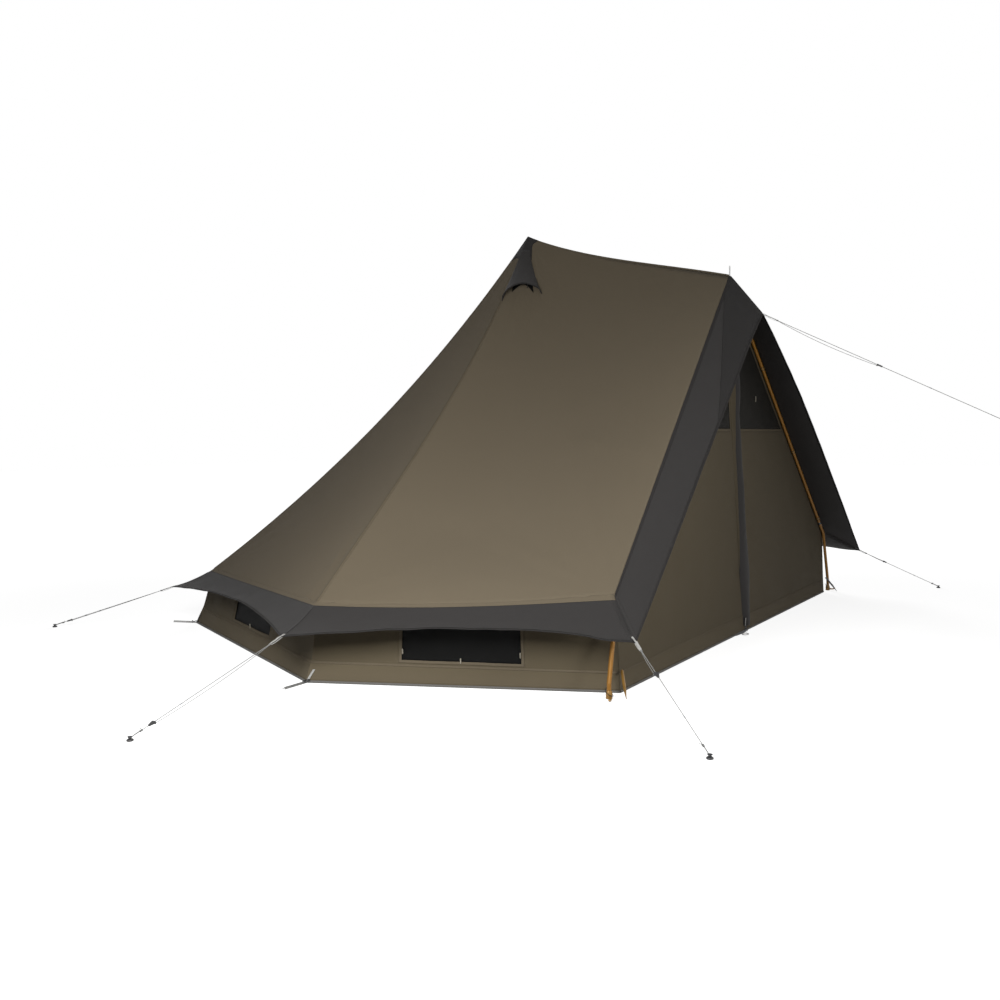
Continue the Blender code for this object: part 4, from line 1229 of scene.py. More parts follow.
def front_half(label, side):
    """One half of the front wall, with a hole for its mesh."""
    rows, columns = len(FRONT_LEVELS) - 1, ZIP_COLUMNS + MESH_COLUMNS + SLOPE_COLUMNS

    def spot(u, v):
        z = FRONT_LEVELS[rows - round(v * rows)]
        return front_column(round(u * columns), z), z

    def place(u, v):
        x, z = spot(u, v)
        if x < 0.00001 or z > FRONT_TOP - 0.0001:
            x = 0
        return on_front(-x, z, front_soft(x, z, side))

    def in_mesh(face):
        middle = face.calc_center_median()
        inner, outer = mesh_borders(middle.z)
        return MESH_LINE < middle.z < WINDOW_TOP and inner < abs(middle.x) < outer

    shape = grid(columns, rows, place, lambda u, v, _: spot(u, v), side)
    drop_faces(shape, in_mesh)
    nodes = ["door_left", "front_wall"] if side == LEFT else ["door_right"]
    made = piece("front_cloth_" + label, shape, "wall", None, slot="canvas", nodes=nodes, angle=20)
    return leaf(thick(made, CLOTH_THICK), side)


def front_mesh(label, side):
    """The insect mesh in the upper part of one leaf."""

    def spot(u, v):
        z = MESH_LINE - 0.008 + (WINDOW_TOP + 0.004 - MESH_LINE) * (1 - v)
        inner, outer = mesh_borders(z)
        inner, outer = inner - 0.006, outer + 0.008
        return inner + (outer - inner) * u, z

    def place(u, v):
        x, z = spot(u, v)
        return on_front(-x, z, front_soft(x, z, side) - 0.0022 - 0.004 * arch(u) * arch(v))

    shape = grid(26, 22, place, lambda u, v, _: spot(u, v), side)
    # This mesh is painted lighter than the windows' mesh: painted light.
    made = piece("front_mesh_" + label, shape, "door_netting_painted_light", None, slot="charcoal", angle=25)
    return leaf(thick(made, THIN_CLOTH), side)


# The storm flap at some heights: its sewn edge and its free edge, each as (x, distance out)
FLAP = [
    (0.034, (-0.036, 0.0010), (0.016, 0.0180)),
    (0.135, (-0.046, 0.0010), (0.018, 0.0220)),
    (0.34, (-0.052, 0.0010), (0.030, 0.0250)),
    (0.62, (-0.030, 0.0020), (0.020, 0.0250)),
    (0.80, (-0.021, 0.0030), (0.020, 0.0260)),
    (1.00, (-0.021, 0.0035), (0.018, 0.0250)),
    (1.15, (-0.012, 0.0080), (0.018, 0.0250)),
    (1.40, (-0.004, 0.0190), (0.030, 0.0330)),
    (1.716, (-0.004, 0.0150), (0.022, 0.0250)),
]


def flap_edges(z):
    """The storm flap's sewn edge and free edge at a height, each as (x, distance out)."""
    for low, high in zip(FLAP, FLAP[1:]):
        if z <= high[0]:
            part = smooth(low[0], high[0], z)
            return [tuple(a + (b - a) * part for a, b in zip(low[k], high[k])) for k in (1, 2)]
    return FLAP[-1][1:]


def flap_cloth(name, columns, rows, place, size, finish, slot, depth):
    """A layer of the storm flap, which rides on the left leaf's body."""
    shape = grid(columns, rows, place, flat_map(*size))
    turn_over(shape)
    return thick(piece(name, shape, finish, "door_left", slot=slot, angle=40), depth)


def zip_flap():
    """The dark storm flap that stands over the zip, with soft waves along its free edge."""
    top, low_end = FLAP[-1][0], FLAP[0][0]

    def place(u, v):
        z = top - v * (top - low_end)
        (left, low), (right, high) = flap_edges(z)
        if u < 0.001:
            return on_front(min(left - 0.006, -0.0178), z, 0.0008)
        part = (u - 1 / 11) / (10 / 11)
        x = left + (right - left) * part
        out = low + (high - low) * part**0.6 + 0.005 * math.sin(math.pi * part)
        wave = ripple(0, z * 4.2, 71) + 0.5 * ripple(3, z * 11, 72)
        x += 0.0065 * wave * part * part
        out += 0.0045 * ripple(5, z * 7, 73) * part * part
        return on_front(x, z, out)

    # Its cloth is painted lighter than the charcoal: painted light.
    return flap_cloth("zip_flap", 11, 110, place, (0.06, 1.61), "flap_painted_light", "charcoal", 0.0012)


def flap_base():
    """The paler strip that the upper part of the storm flap is sewn to; it stands off the wall."""
    top, low_end, root = 1.712, 0.36, 0.054

    def place(u, v):
        z = top - v * (top - low_end)
        (left, low), _ = flap_edges(z)
        x = -root + (left + 0.002 + root) * u
        soft = 0.0012 * ripple(u, z * 6, 77)
        return on_front(x, z, 0.0010 + (low + 0.0008) * u**1.3 + soft * u)

    return flap_cloth("flap_base", 8, 70, place, (0.05, 1.35), "wall", "canvas", 0.0010)


def zip_teeth(label, side):
    """The coil and tape of one side of the zip."""
    body = "door_" + label
    route = [on_front(ZIP_LINE - side * 0.0017, z, 0.0022) for z in (0.014, 0.4, 0.8, 1.2, 1.69)]
    made = tube("zip_coil_" + label, route, 0.0015, "zip", body, sides=8, slot="black_plastic")
    low, high = on_front(ZIP_LINE, 0.013, 0.0016), on_front(ZIP_LINE, 1.697, 0.0016)
    wide = 0.0095 if side == LEFT else 0.0105

    def place(u, v):
        point = high.lerp(low, v)
        return point - Vector((side * (0.0006 + wide * u), 0, 0))

    shape = grid(2, 30, place, flat_map(0.011, 1.68))
    if side == RIGHT:
        turn_over(shape)
    return made, thick(piece("zip_tape_" + label, shape, "charcoal", body, slot="charcoal"), 0.0007)


def zip_slider():
    """The slider with its bridge and pull."""

    def spot(x, z, out):
        return on_front(ZIP_LINE + x, SLIDER_HEIGHT + z, out)

    half = ((-0.0052, 0.0115), (-0.0060, 0.004), (-0.0040, -0.0085), (-0.0022, -0.0118))
    outline = [spot(x, z, 0.0008) for x, z in half] + [spot(-x, z, 0.0008) for x, z in reversed(half)]
    shape = slab(outline, Vector((0, -0.0034, 0)))
    bevelled(shape, 0.0007, 2)
    body = "zip_slider"
    piece("slider_body", shape, "dark_metal", body, slot="steel", nodes=["zip_slider"], angle=35)
    bridge = ((0.009, 0.0036), (0.007, 0.0062), (0.0, 0.0070), (-0.006, 0.0058), (-0.008, 0.0036))
    tube("slider_bridge", [spot(0, *pair) for pair in bridge], 0.0011, "dark_metal", body, sides=8)
    ring("slider_ring", spot(0, -0.010, 0.0052), Vector((0.3, -1, 0.3)), 0.0036, 0.0007, "dark_metal", body)
    pull = [spot(0, -z, 0.0056 - 0.03 * max(z - 0.014, 0)) for z in (0.0125, 0.02, 0.03, 0.042, 0.048)]
    tube("slider_pull", pull, 0.0008, "webbing", body, sides=8, wide=3.0)


front_cloths, front_meshes = both(front_half), both(front_mesh)
storm_flap, flap_strip = zip_flap(), flap_base()
zip_pieces = both(zip_teeth)
zip_slider()


# Seams, hems and bands


def strip(name, table, finish, out, body="tent", depth=0.0007, **named):
    """A sewn strip through rows of points, with a map from 0 to 1 across and metres along."""
    rows, columns = len(table) - 1, len(table[0]) - 1
    runs = runs_of([row[columns // 2] for row in table])

    def place(u, v):
        return table[round(v * rows)][round(u * columns)]

    shape = grid(columns, rows, place, lambda u, v, _: (u, runs[round(v * rows)]))
    face_out(shape, out)
    return thick(piece(name, shape, finish, body, angle=50, **named), depth, 1)


def on_roof(first, second, side, share, across, lift):
    """A point of the roof's cloth, lifted off it."""
    point = panel(first, second, share, across)
    normal = roof_normal(first, second, share, across)
    return flip(point + normal * (tension(first, second, share, across, side) + lift), side)


def roof_point(entry, share, away, lift):
    """A point of the roof's cloth at a distance from one edge of a panel."""
    first, second, side, edge = entry
    step = away / max(panel_width(first, second, share), 0.01)
    return on_roof(first, second, side, share, step if edge == 0 else 1 - step, lift)


# The panel's edges that meet at each seam: the panel's two seams, its half, and which of its edges
SEAM_PAIRS = {
    "ridge": (("ridge", "crease", LEFT, 0), ("ridge", "crease", RIGHT, 0)),
    "hip_left": (("crease", "mid", LEFT, 1), ("mid", "rear", LEFT, 0)),
    "rear_hip_left": (("mid", "rear", LEFT, 1), ("rear", "rear", LEFT, 0)),
    "rear_hip_right": (("rear", "rear", LEFT, 1), ("mid", "rear", RIGHT, 1)),
    "hip_right": (("mid", "rear", RIGHT, 0), ("crease", "mid", RIGHT, 1)),
}


SEAM_ROWS = 120


def roof_seam(name, one, other):
    """A flat-felled seam that runs down from the apex over the edge between two panels."""
    edge, fold = 0.0105, 0.0050
    table = []
    for share in divided([0.045, 0.994], [SEAM_ROWS]):
        top = (roof_point(one, share, 0, 0.0010) + roof_point(other, share, 0, 0.0010)) / 2
        row = [roof_point(one, share, edge, 0.0005), roof_point(one, share, fold, 0.0008), top]
        table.append(row + [roof_point(other, share, fold, 0.0008), roof_point(other, share, edge, 0.0005)])
    return strip("seam_" + name, table, "canvas_seam", UP)


def frame_seam(label, side):
    """Where the roof is sewn to the porch along the A-frame."""
    table = []
    for share in divided([0.004, 0.996], [SEAM_ROWS]):
        across = 1 - share
        length = (APEX - RIDGE_FRONT.lerp(FRONT_EAVE, across)).length
        lows = [1 - away / length for away in (0.0030, 0.0015)]
        row = [on_roof("ridge", "crease", side, low, across, 0.0006) for low in lows]
        u = on_side(share / 2, side)
        reach = porch_edge(share).length
        for away in (0.003, 0.0075, 0.012):
            row.append(porch_place(u, away / reach) + Vector((-0.5 * side, -0.3, 0.8)) * 0.0011)
        table.append(row)
    return strip("seam_porch_" + label, table, "charcoal_seam", Vector((-side, 0, 1)))


def eave_seam():
    """The felled seam where the roof laps over the valance, all round; it is wider at the front corners."""
    table = []
    spans = len(EAVES)
    for order, (first, second, side, _) in enumerate(PANELS[1:-1]):
        for k in range(61 if order == spans - 1 else 60):
            part = min(max(k / 60, 0.0005), 0.9995)
            across = on_side(part, side)
            lines = ((0.9925, -0.0014), (0.9985, 0.0003))
            row = [on_roof(first, second, side, share, across, lift) for share, lift in lines]
            u = (order + part) / spans
            eave, edge = eave_pair(u)
            front = math.exp(-min(u, 1 - u) * spans / 0.16)
            lap = 0.0105 + 0.0150 * front
            for reach in (0.30, 0.65, 1.0):
                row.append(valance_place(u, lap * reach / (edge - eave).length) + UP * 0.0012)
            table.append(row)
    return strip("seam_eaves", table, "canvas", UP, depth=0.0004, slot="canvas")


ACROSS = (-1, -0.5, 0, 0.5, 1)


def hem(name, place, count):
    """A hem folded round the free edge of a strip of cloth, at v of 1."""
    table = []
    for k in range(count + 1):
        u = k / count
        edge = place(u, 1.0)
        inner = place(u, 0.93)
        out = (edge - inner).normalized()
        along = (place(min(u + 0.002, 1), 1.0) - place(max(u - 0.002, 0), 1.0)).normalized()
        up = along.cross(out)
        if up.z < 0:
            up = -up
        inner = edge - out * 0.013
        above, below = up * 0.0007, up * 0.0021
        fold = edge + out * 0.0008 - up * 0.0006
        table.append([inner + above, edge + above, fold, edge - below, inner - below])
    return strip(name, table, "charcoal_seam", UP, depth=0.0005)


def tip_seam(name, u):
    """The dart from an eave corner out to the valance's tip."""
    table = []
    for v in divided([0.11, 0.98], [24]):
        table.append([valance_place(u + 0.0009 * away, v) + UP * 0.0010 for away in ACROSS])
    return strip(name, table, "charcoal", UP, slot="charcoal")


def front_tip(label, side):
    """The seam that joins the valance to the porch, from the front eave corner out to the tip."""
    table = []
    for v in divided([0.02, 0.985], [30]):
        row = []
        for away, lift in ((0.0026, -0.0010), (0.0010, 0.0005), (0.0, 0.0007)):
            row.append(valance_place(on_side(away, side), v) + UP * lift)
        row.append((row[-1] + porch_place(on_side(0, side), v) + UP * 0.0007) / 2 + UP * 0.0006)
        for away, lift in ((0.0, 0.0007), (0.0012, 0.0005), (0.0034, -0.0010)):
            out = Vector((-side * 0.5, -0.2, 0.8))
            row.append(porch_place(on_side(away, side), v) + out * lift)
        table.append(row)
    return strip("front_tip_" + label, table, "charcoal", UP, depth=0.0004, slot="charcoal")


def porch_double_and_painted_shade():
    """The second layer of cloth over the top of the porch, with a slanted lower edge; its darker cloth, and
    the slant that follows a fold in the porch, are painted shade of that fold.
    """
    table = []
    for part in divided([-1, 1], [120]):
        row = []
        for v in divided([0.035, 0.96], [8]):
            reach = 0.060 + 0.450 * v
            u = 0.5 + part * reach / 2
            lean = math.copysign(0.42 * min(abs(part) * 9, 1), part)
            row.append(porch_place(u, v) + Vector((lean, -0.1, 0.8)) * 0.0012)
        table.append(row)
    return strip("porch_double_and_painted_shade", table, "charcoal_double_and_painted_shade", UP, depth=0.0009, slot="charcoal")


def walls_line(name, finish, levels, lift, depth):
    """A band along all the low walls."""
    table = []
    for entry in WALLS:
        last = entry is WALLS[-1]
        for k in range(33 if last else 32):
            across = min(max(k / 32, 0.0008), 0.9992)
            table.append([wall_point(entry, across, level, lift) for level in levels])
    return strip(name, table, finish, Vector((-1, 0, 0)), depth=depth)


def front_line(name, side, spots, half, finish="canvas_seam", lift=0.0004, depth=0.0007):
    """A band on the front wall through (distance from the zip, height) pairs, baked in place like its leaf.
    """
    table = []
    for k, (x, z) in enumerate(spots):
        before, after = spots[max(k - 1, 0)], spots[min(k + 1, len(spots) - 1)]
        run = Vector((after[0] - before[0], after[1] - before[1])).normalized()
        row = []
        for part in ACROSS:
            a, b = x - run.y * half * part, z + run.x * half * part
            row.append(flip(on_front(-a, b, front_soft(a, b, side) + lift), side))
        table.append(row)
    return leaf(strip(name, table, finish, Vector((0, -1, 0)), None, depth), side)


def evenly(one, other, count):
    """Evenly spaced pairs from one to the other."""
    return [tuple(a + (b - a) * k / count for a, b in zip(one, other)) for k in range(count + 1)]


def front_trim(label, side):
    """The bands on one half of the front wall: low seam, welt, and the hems round the mesh."""
    start, welt = 0.014, 0.0065
    inner, sill = ZIP_BORDER - 0.004, MESH_LINE - 0.004
    border = front_width(MESH_LINE) - SLOPE_BORDER + 0.004
    levels = divided([MESH_LINE, WINDOW_TOP], [20])
    foot, welt_foot = front_width(LOW_SEAM) - 0.004, front_width(0.006) - 0.002
    bands = [
        ("low_seam", evenly((start, LOW_SEAM), (foot, LOW_SEAM), 60), 0.005),
        ("welt", evenly((start, welt), (welt_foot, welt), 60), 0.0045, "welt", 0.0006, 0.0022),
        ("mesh_sill", evenly((inner, sill), (border, sill), 40), 0.0065),
        ("mesh_side", evenly((inner, MESH_LINE), (inner, WINDOW_TOP - 0.05), 30), 0.005),
        ("mesh_slope", [(mesh_borders(z)[1] + 0.003, z) for z in levels], 0.0055),
    ]
    return [front_line(f"{name}_{label}", side, *rest) for name, *rest in bands]


def window_hem(entry):
    """The folded hem round a window's opening."""
    low, high = wall_window(entry)
    length = wall_length(entry)
    corners = [(low, WINDOW_LOW), (high, WINDOW_LOW), (high, WINDOW_HIGH), (low, WINDOW_HIGH)]
    signs = [(-1, -1), (1, -1), (1, 1), (-1, 1)]
    reaches = (-0.0015, 0.003, 0.0075, 0.012)
    rims = []
    for reach in reaches:
        rims.append([(x + a * reach / length, z + b * reach) for (x, z), (a, b) in zip(corners, signs)])
    table = []
    for k in range(48):
        row = []
        for rim in rims:
            one, other = rim[k // 12], rim[(k // 12 + 1) % 4]
            across, level = (a + (b - a) * (k % 12) / 12 for a, b in zip(one, other))
            row.append(wall_point(entry, across, level, 0.0005))
        table.append(row)
    table.append(table[0])
    return strip("window_hem_" + entry[0], table, "canvas_seam", wall_out(entry, 0.5), depth=0.0008)


def toggle(name, place, way, finish="wood", length=0.024, body="tent"):
    """A small turned toggle with a waist for its cord."""
    way = way.normalized()
    route = [place + way * length * (k / 12 - 0.5) for k in range(13)]

    def swell(v):
        return 0.72 + 0.28 * math.sin(math.pi * v) ** 0.5 - 0.30 * math.exp(-(((v - 0.5) / 0.07) ** 2))

    return tube(name, route, 0.0031, finish, body, sides=12, swell=swell)


def mesh_toggle(label, side):
    """The toggle that hangs in front of a door leaf's mesh."""
    place = flip(on_front(-0.365, 1.318, 0.0045), side)
    return leaf(toggle("mesh_toggle_" + label, place, Vector((0.12, 0, 1)), "wood", 0.034, None), side)


def window_toggles(entry):
    """Toggle and cord loop under a window, and one at each of its upper corners."""
    low, high = wall_window(entry)
    made = []
    spots = [("low", 0.5, WINDOW_LOW + 0.006)]
    if entry[0] in ("left", "right"):
        spots += [("start", low + 0.004, WINDOW_LOW + 0.040), ("end", high - 0.004, WINDOW_LOW + 0.040)]
    for tag, across, level in spots:
        out = wall_out(entry, across)
        place = wall_point(entry, across, level, 0.0052)
        name = f"toggle_{entry[0]}_{tag}"
        made.append(toggle(name, place, UP + out * 0.12))
        hung = [place + UP * (0.013 - 0.026 * k / 6) for k in range(7)]
        line = [spot - out * (0.0030 + 0.0015 * math.cos(k)) for k, spot in enumerate(hung)]
        made.append(tube(name + "_cord", line, 0.0009, "black_cord", sides=6))
    return made


roof_seams = [roof_seam(name, *pair) for name, pair in SEAM_PAIRS.items()]
frame_seams = both(frame_seam)
eave_line = eave_seam()
valance_hem = hem("valance_hem", valance_place, 220)
porch_hem = hem("porch_hem", porch_place, 240)
tip_seams = [tip_seam(f"dart_{k}", k / 5) for k in (1, 2, 3, 4)]
front_tips = both(front_tip)
porch_patch = porch_double_and_painted_shade()
wall_seam = walls_line("low_seam_walls", "canvas_seam", (0.083, 0.0855, 0.088, 0.0905, 0.093), 0.0005, 0.0007)
wall_welt = walls_line("welt_walls", "welt", (0.0018, 0.0045, 0.0075, 0.011), 0.0006, 0.0024)
front_trims = both(front_trim)
window_hems = [window_hem(entry) for entry in WALLS]
toggles = [window_toggles(entry) for entry in WALLS] + both(mesh_toggle)


# Frame, pegs and their straps


TUBE_DEPTH = 0.018
CLIP_SHARES = (0.30, 0.625, 0.925)
FERRULE_SHARE = 0.948


def frame_line():
    """The left-hand tube's axis under the A-frame seam: where it meets its twin, and the knee."""
    run = FRONT_EAVE - RIDGE_FRONT
    slope = Vector((run.x, 0, run.z)).normalized()
    inward = Vector((-slope.z, 0, slope.x))
    knee = FRONT_EAVE - Vector((0, 0.004, 0)) + inward * TUBE_DEPTH
    head = Vector((0, -1.328, 2.000)) + inward * TUBE_DEPTH
    top = head - (head - knee) * (head.x / (head.x - knee.x))
    return top, knee, -inward


def on_pole(share, side):
    """A place on a tube, the way down it and the way out to the cloth."""
    top, knee, out = frame_line()
    return [flip(v, side) for v in (top.lerp(knee, share), (knee - top).normalized(), out)]


def pole_clip(name, share, side):
    """A moulded clip on a tube, hung from the seam above it by a loop of webbing."""
    place, way, out = on_pole(share, side)
    route = [place + way * (0.012 * (k / 6 - 0.5) * 2) for k in range(7)]

    def swell(v):
        return 0.94 + 0.06 * math.sin(math.pi * v)

    made = [tube(name + "_shell", route, 0.0126, "amber_cast", sides=20, swell=swell)]
    for tag, shift in (("upper", -0.0085), ("lower", 0.0085)):
        made.append(ring(f"{name}_{tag}_lip", place + way * shift, way, 0.0134, 0.0012, "plastic"))
    spot, face = place + out * 0.0105, way.cross(out)
    made.append(ring(name + "_loop", spot, face, 0.0058, 0.0013, "black_webbing", stretch=1.5, along=way))
    return made


def sleeve(label, side):
    """The dark ferrule where two tubes meet, with its push button."""
    name = "ferrule_" + label
    place, way, _ = on_pole(FERRULE_SHARE, side)
    route = [place + way * (k / 8 - 0.5) * 0.020 for k in range(9)]
    tube(name, route, 0.0108, "dark_metal", sides=24, swell=lambda v: 1 - 0.06 * abs(2 * v - 1) ** 6)
    spot = place + way * 0.024 + Vector((0, -0.0098, 0))
    toggle(name + "_button", spot, Vector((0, 1, 0)), "steel", 0.0050)


CURVE_STEPS = 6
BOOT_PROFILE = (
    [(0, 0), (0.0128, 0), (0.0142, 0.0012), (0.0145, 0.0030), (0.0145, 0.0075), (0.0134, 0.0085)]
    + [(0.0134, 0.0110), (0.0143, 0.0120), (0.0143, 0.0240), (0.0128, 0.0300), (0.0112, 0.0345)]
    + [(0.0106, 0.0356), (0, 0.0356)]
)
TOE = (
    [(-0.004, -0.010, 0.010), (-0.016, -0.016, 0.0085), (-0.030, -0.022, 0.0065)]
    + [(-0.044, -0.027, 0.0055), (-0.054, -0.030, 0.0075), (-0.060, -0.032, 0.0120)]
)
LEG_STRAP = (
    [(0.019, 0.010, 0.040), (0.016, -0.004, 0.022), (0.004, -0.017, 0.014), (-0.012, -0.014, 0.016)]
    + [(-0.0165, 0.002, 0.026), (-0.004, 0.016, 0.036), (0.018, 0.013, 0.050)]
)


def boot(label, side):
    """The cap on a leg's end, with its toe that hooks into the corner strap."""
    node = "foot_" + label
    lathe(node + "_cap", BOOT_PROFILE, flip(FOOT, side), "amber_cast", slot="black_plastic", nodes=[node])
    toe = [flip(FOOT + Vector(p), side) for p in TOE]
    tube("toe_" + label, toe, 0.0052, "amber_cast", sides=12, wide=1.25, swell=lambda v: 1 - 0.25 * v)
    strap = [flip(FOOT + Vector(p), side) for p in rounded(LEG_STRAP)]
    tube("leg_strap_" + label, strap, 0.0013, "black_cord", sides=8)


def rounded(points):
    """A soft curve through points."""
    spots = [Vector(p) for p in points]
    made = []
    for k in range(len(spots) - 1):
        before, after = spots[max(k - 1, 0)], spots[min(k + 2, len(spots) - 1)]
        a, b = spots[k], spots[k + 1]
        for step in range(CURVE_STEPS):
            s = step / CURVE_STEPS
            made.append(
                a * (2 * s**3 - 3 * s**2 + 1)
                + (b - before) * 0.5 * (s**3 - 2 * s**2 + s)
                + b * (3 * s**2 - 2 * s**3)
                + (after - a) * 0.5 * (s**3 - s**2)
            )
    return made + [spots[-1]]


def peg(label, tip, way, finish, slot="steel", length=0.1695):
    """A peg folded from sheet: a V with a ground point, a notch for its cord and a turned-over head."""
    way = way.normalized()
    across = Vector((-way.y, way.x, 0)).normalized()
    up = way.cross(across)
    section = [(-0.0070, 0.0003), (-0.0060, 0.0014), (-0.0036, 0.0052), (-0.0014, 0.0086), (0, 0.0097)]
    section += [(-a, b) for a, b in reversed(section[:-1])]
    rows = [0, 0.012, 0.028, 0.045, 0.062]
    rows += [length - back for back in (0.085, 0.060, 0.035, 0.0215, 0.0175, 0.0115, 0.0075, 0)]

    def place(u, v):
        run = rows[round(v * (len(rows) - 1))]
        a, b = section[round(u * 8)]
        taper = 0.16 + 0.84 * smooth(-0.01, 0.062, run)
        return tip + way * run + across * a * taper + up * (b * taper + 0.0002)

    def in_notch(face):
        middle = face.calc_center_median() - tip
        return 0.0115 < length - middle.dot(way) < 0.0175 and middle.dot(across) < -0.0045

    shape = grid(8, len(rows) - 1, place, flat_map(0.024, 0.17))
    drop_faces(shape, in_notch)
    face_out(shape, up)
    node = "peg_" + label
    thick(piece(node + "_sheet", shape, finish, slot=slot, nodes=[node], angle=35), 0.0013)


def corner_strap(name, entry, across, peg_tip, way, finish, lean=0.0):
    """The webbing tab low on a wall's corner, and the cord loop from it round its peg."""
    table = []
    for k in range(9):
        middle = across + lean * (k / 8 - 0.5)
        spots = [middle + 0.011 * part / wall_length(entry) for part in (-0.5, 0, 0.5)]
        table.append([wall_point(entry, spot, 0.058 - 0.043 * k / 8, 0.0030) for spot in spots])
    strip(name + "_tab", table, finish, wall_out(entry, across), depth=0.0012)
    start = wall_point(entry, across, 0.016, 0.0045)
    side = Vector((-way.y, way.x, 0))
    far = peg_tip + way * 0.046
    half, near = far.lerp(start, 0.5) + UP * 0.004, far - way * 0.004 + UP * 0.006
    loop = [start, half + side * 0.012, near + side * 0.0095, far + UP * 0.0135]
    loop += [near - side * 0.0095, half - side * 0.012, start]
    low = [Vector((p.x, p.y, max(p.z, 0.0022))) for p in rounded(loop)]
    tube(name + "_loop", low, 0.0018, "black_cord", sides=8, capped=False)


OUTWARD = Vector((-1, 0, 0))
REAR_OUT = Vector((-0.35, 0.94, 0)).normalized()
FRONT_PEG_WAY = Vector((0.55, 0.42, 0.72)).normalized()
PEG_GAP = 0.0006


def side_gear(label, side):
    """One side's pegs, and the straps to two of them."""
    mid_way, rear_way = flip(OUTWARD, side), flip(REAR_OUT, side)
    peg("mid_" + label, flip(MID_GROUND + OUTWARD * PEG_GAP, side), mid_way, "grey_metal")
    peg("rear_" + label, flip(REAR_GROUND + REAR_OUT * PEG_GAP, side), rear_way, "grey_metal")
    low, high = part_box("peg_front_" + label)
    tip = Vector((low[0] + 0.0015 if side == LEFT else high[0] - 0.0015, low[1] + 0.0030, 0.0012))
    finish = "amber_cast" if side == LEFT else "dark_metal"
    peg("front_" + label, tip, flip(FRONT_PEG_WAY, side), finish, "amber", 0.138)
    wall, rear_wall = (WALLS[0], WALLS[1]) if side == LEFT else (WALLS[4], WALLS[3])
    end = on_side(0.988, side)
    corner_strap("strap_mid_" + label, wall, end, flip(MID_GROUND, side), mid_way, "webbing", 0.012 * side)
    corner_strap("strap_rear_" + label, rear_wall, end, flip(REAR_GROUND, side), rear_way, "black_webbing")


DOOR_HOOK = (
    [(-0.033, 0.0400, 0.0050), (-0.033, 0.0300, 0.0085), (-0.034, 0.0205, 0.0100)]
    + [(-0.036, 0.0145, 0.0085), (-0.040, 0.0140, 0.0050), (-0.042, 0.0180, 0.0035)]
)


def door_gear():
    """The peg, ring, strap and hook that hold the foot of the door."""
    peg("door", Vector((-0.1700, -1.4442, 0)), Vector((1, 0, 0)), "dark_metal")
    spot, long_way = Vector((-0.108, -1.4745, 0.0030)), Vector((1, 0.12, 0))
    ring("door_ring", spot, UP, 0.0165, 0.0026, "grey_metal", stretch=1.5, along=long_way)
    table = []
    slants = ((-0.043, 0.002), (0.081, 0.045), (0.0165, 0.006))
    for k in range(7):
        x, z, out = (start - fall * k / 6 for start, fall in slants)
        table.append([on_front(x + part * 0.014, z, out) for part in (-0.5, 0, 0.5)])
    strip("door_strap", table, "webbing", Vector((0, -1, 0)), "door_left", 0.0012)
    hook = rounded([on_front(*spot) for spot in DOOR_HOOK])
    tube("door_hook", hook, 0.0021, "plastic", "door_left", sides=10)


carried = {
    "centre_pole": "steel",
    "centre_pole_foot": "plastic",
    "ridge_hub": "grey_metal",
    "pole_left": "amber",
    "pole_right": "amber",
    "leg_left": "amber",
    "leg_right": "amber",
}
for node, finish in carried.items():
    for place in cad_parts[node].material_slots:
        place.material = finishes[finish]


# Guylines


LINE_RADIUS = 0.0015
RETURN_RADIUS = 0.0012
KNOT_WIRE = 0.0013
# Each cord's start and end on the left, and where its slider sits between them
LINES = {
    "front": (Vector((-1.80265, -1.61879, 0.28703)), Vector((-2.18076, -2.08103, 0.01335)), 0.33),
    "mid": (Vector((-2.36590, -0.20002, 0.24822)), Vector((-3.12606, -0.21292, 0.01253)), 0.88),
    "rear": (Vector((-1.59056, 1.53571, 0.22422)), Vector((-2.01391, 2.06613, 0.01254)), 0.88),
}
STAKES = {
    "front": Vector((-2.184, -2.085, 0)),
    "mid": Vector((-3.131, -0.213, 0)),
    "rear": Vector((-2.017, 2.070, 0)),
}
# For each cord: the tab's length, how far the return strand sags, and the side of the line it runs on
TABS = {
    "front": (0.062, 0.002, 1),
    "mid": (0.062, 0.009, -1),
    "rear": (0.062, 0.002, 1),
    "ridge": (0.085, 0.016, 1),
}
LOOP_LENGTH = 0.060
LOOP_WIDTH = 0.026


def lathe(name, profile, place, finish, **named):
    """A turned piece from (radius, height) pairs that start and end on its axis."""
    shape = bmesh.new()
    verts = [shape.verts.new(place + Vector((radius, 0, height))) for radius, height in profile]
    edges = [shape.edges.new(pair) for pair in zip(verts, verts[1:])]
    turn = {"cent": place, "axis": (0, 0, 1), "angle": 2 * math.pi, "steps": 48}
    bmesh.ops.spin(shape, geom=verts + edges, use_merge=True, **turn)
    bmesh.ops.remove_doubles(shape, verts=shape.verts, dist=0.00001)
    faces_outward(shape)
    return piece(name, shape, finish, angle=40, **named)


def line_frame(way):
    """Across a line and up from it."""
    across = way.cross(UP).normalized()
    return across, across.cross(way)


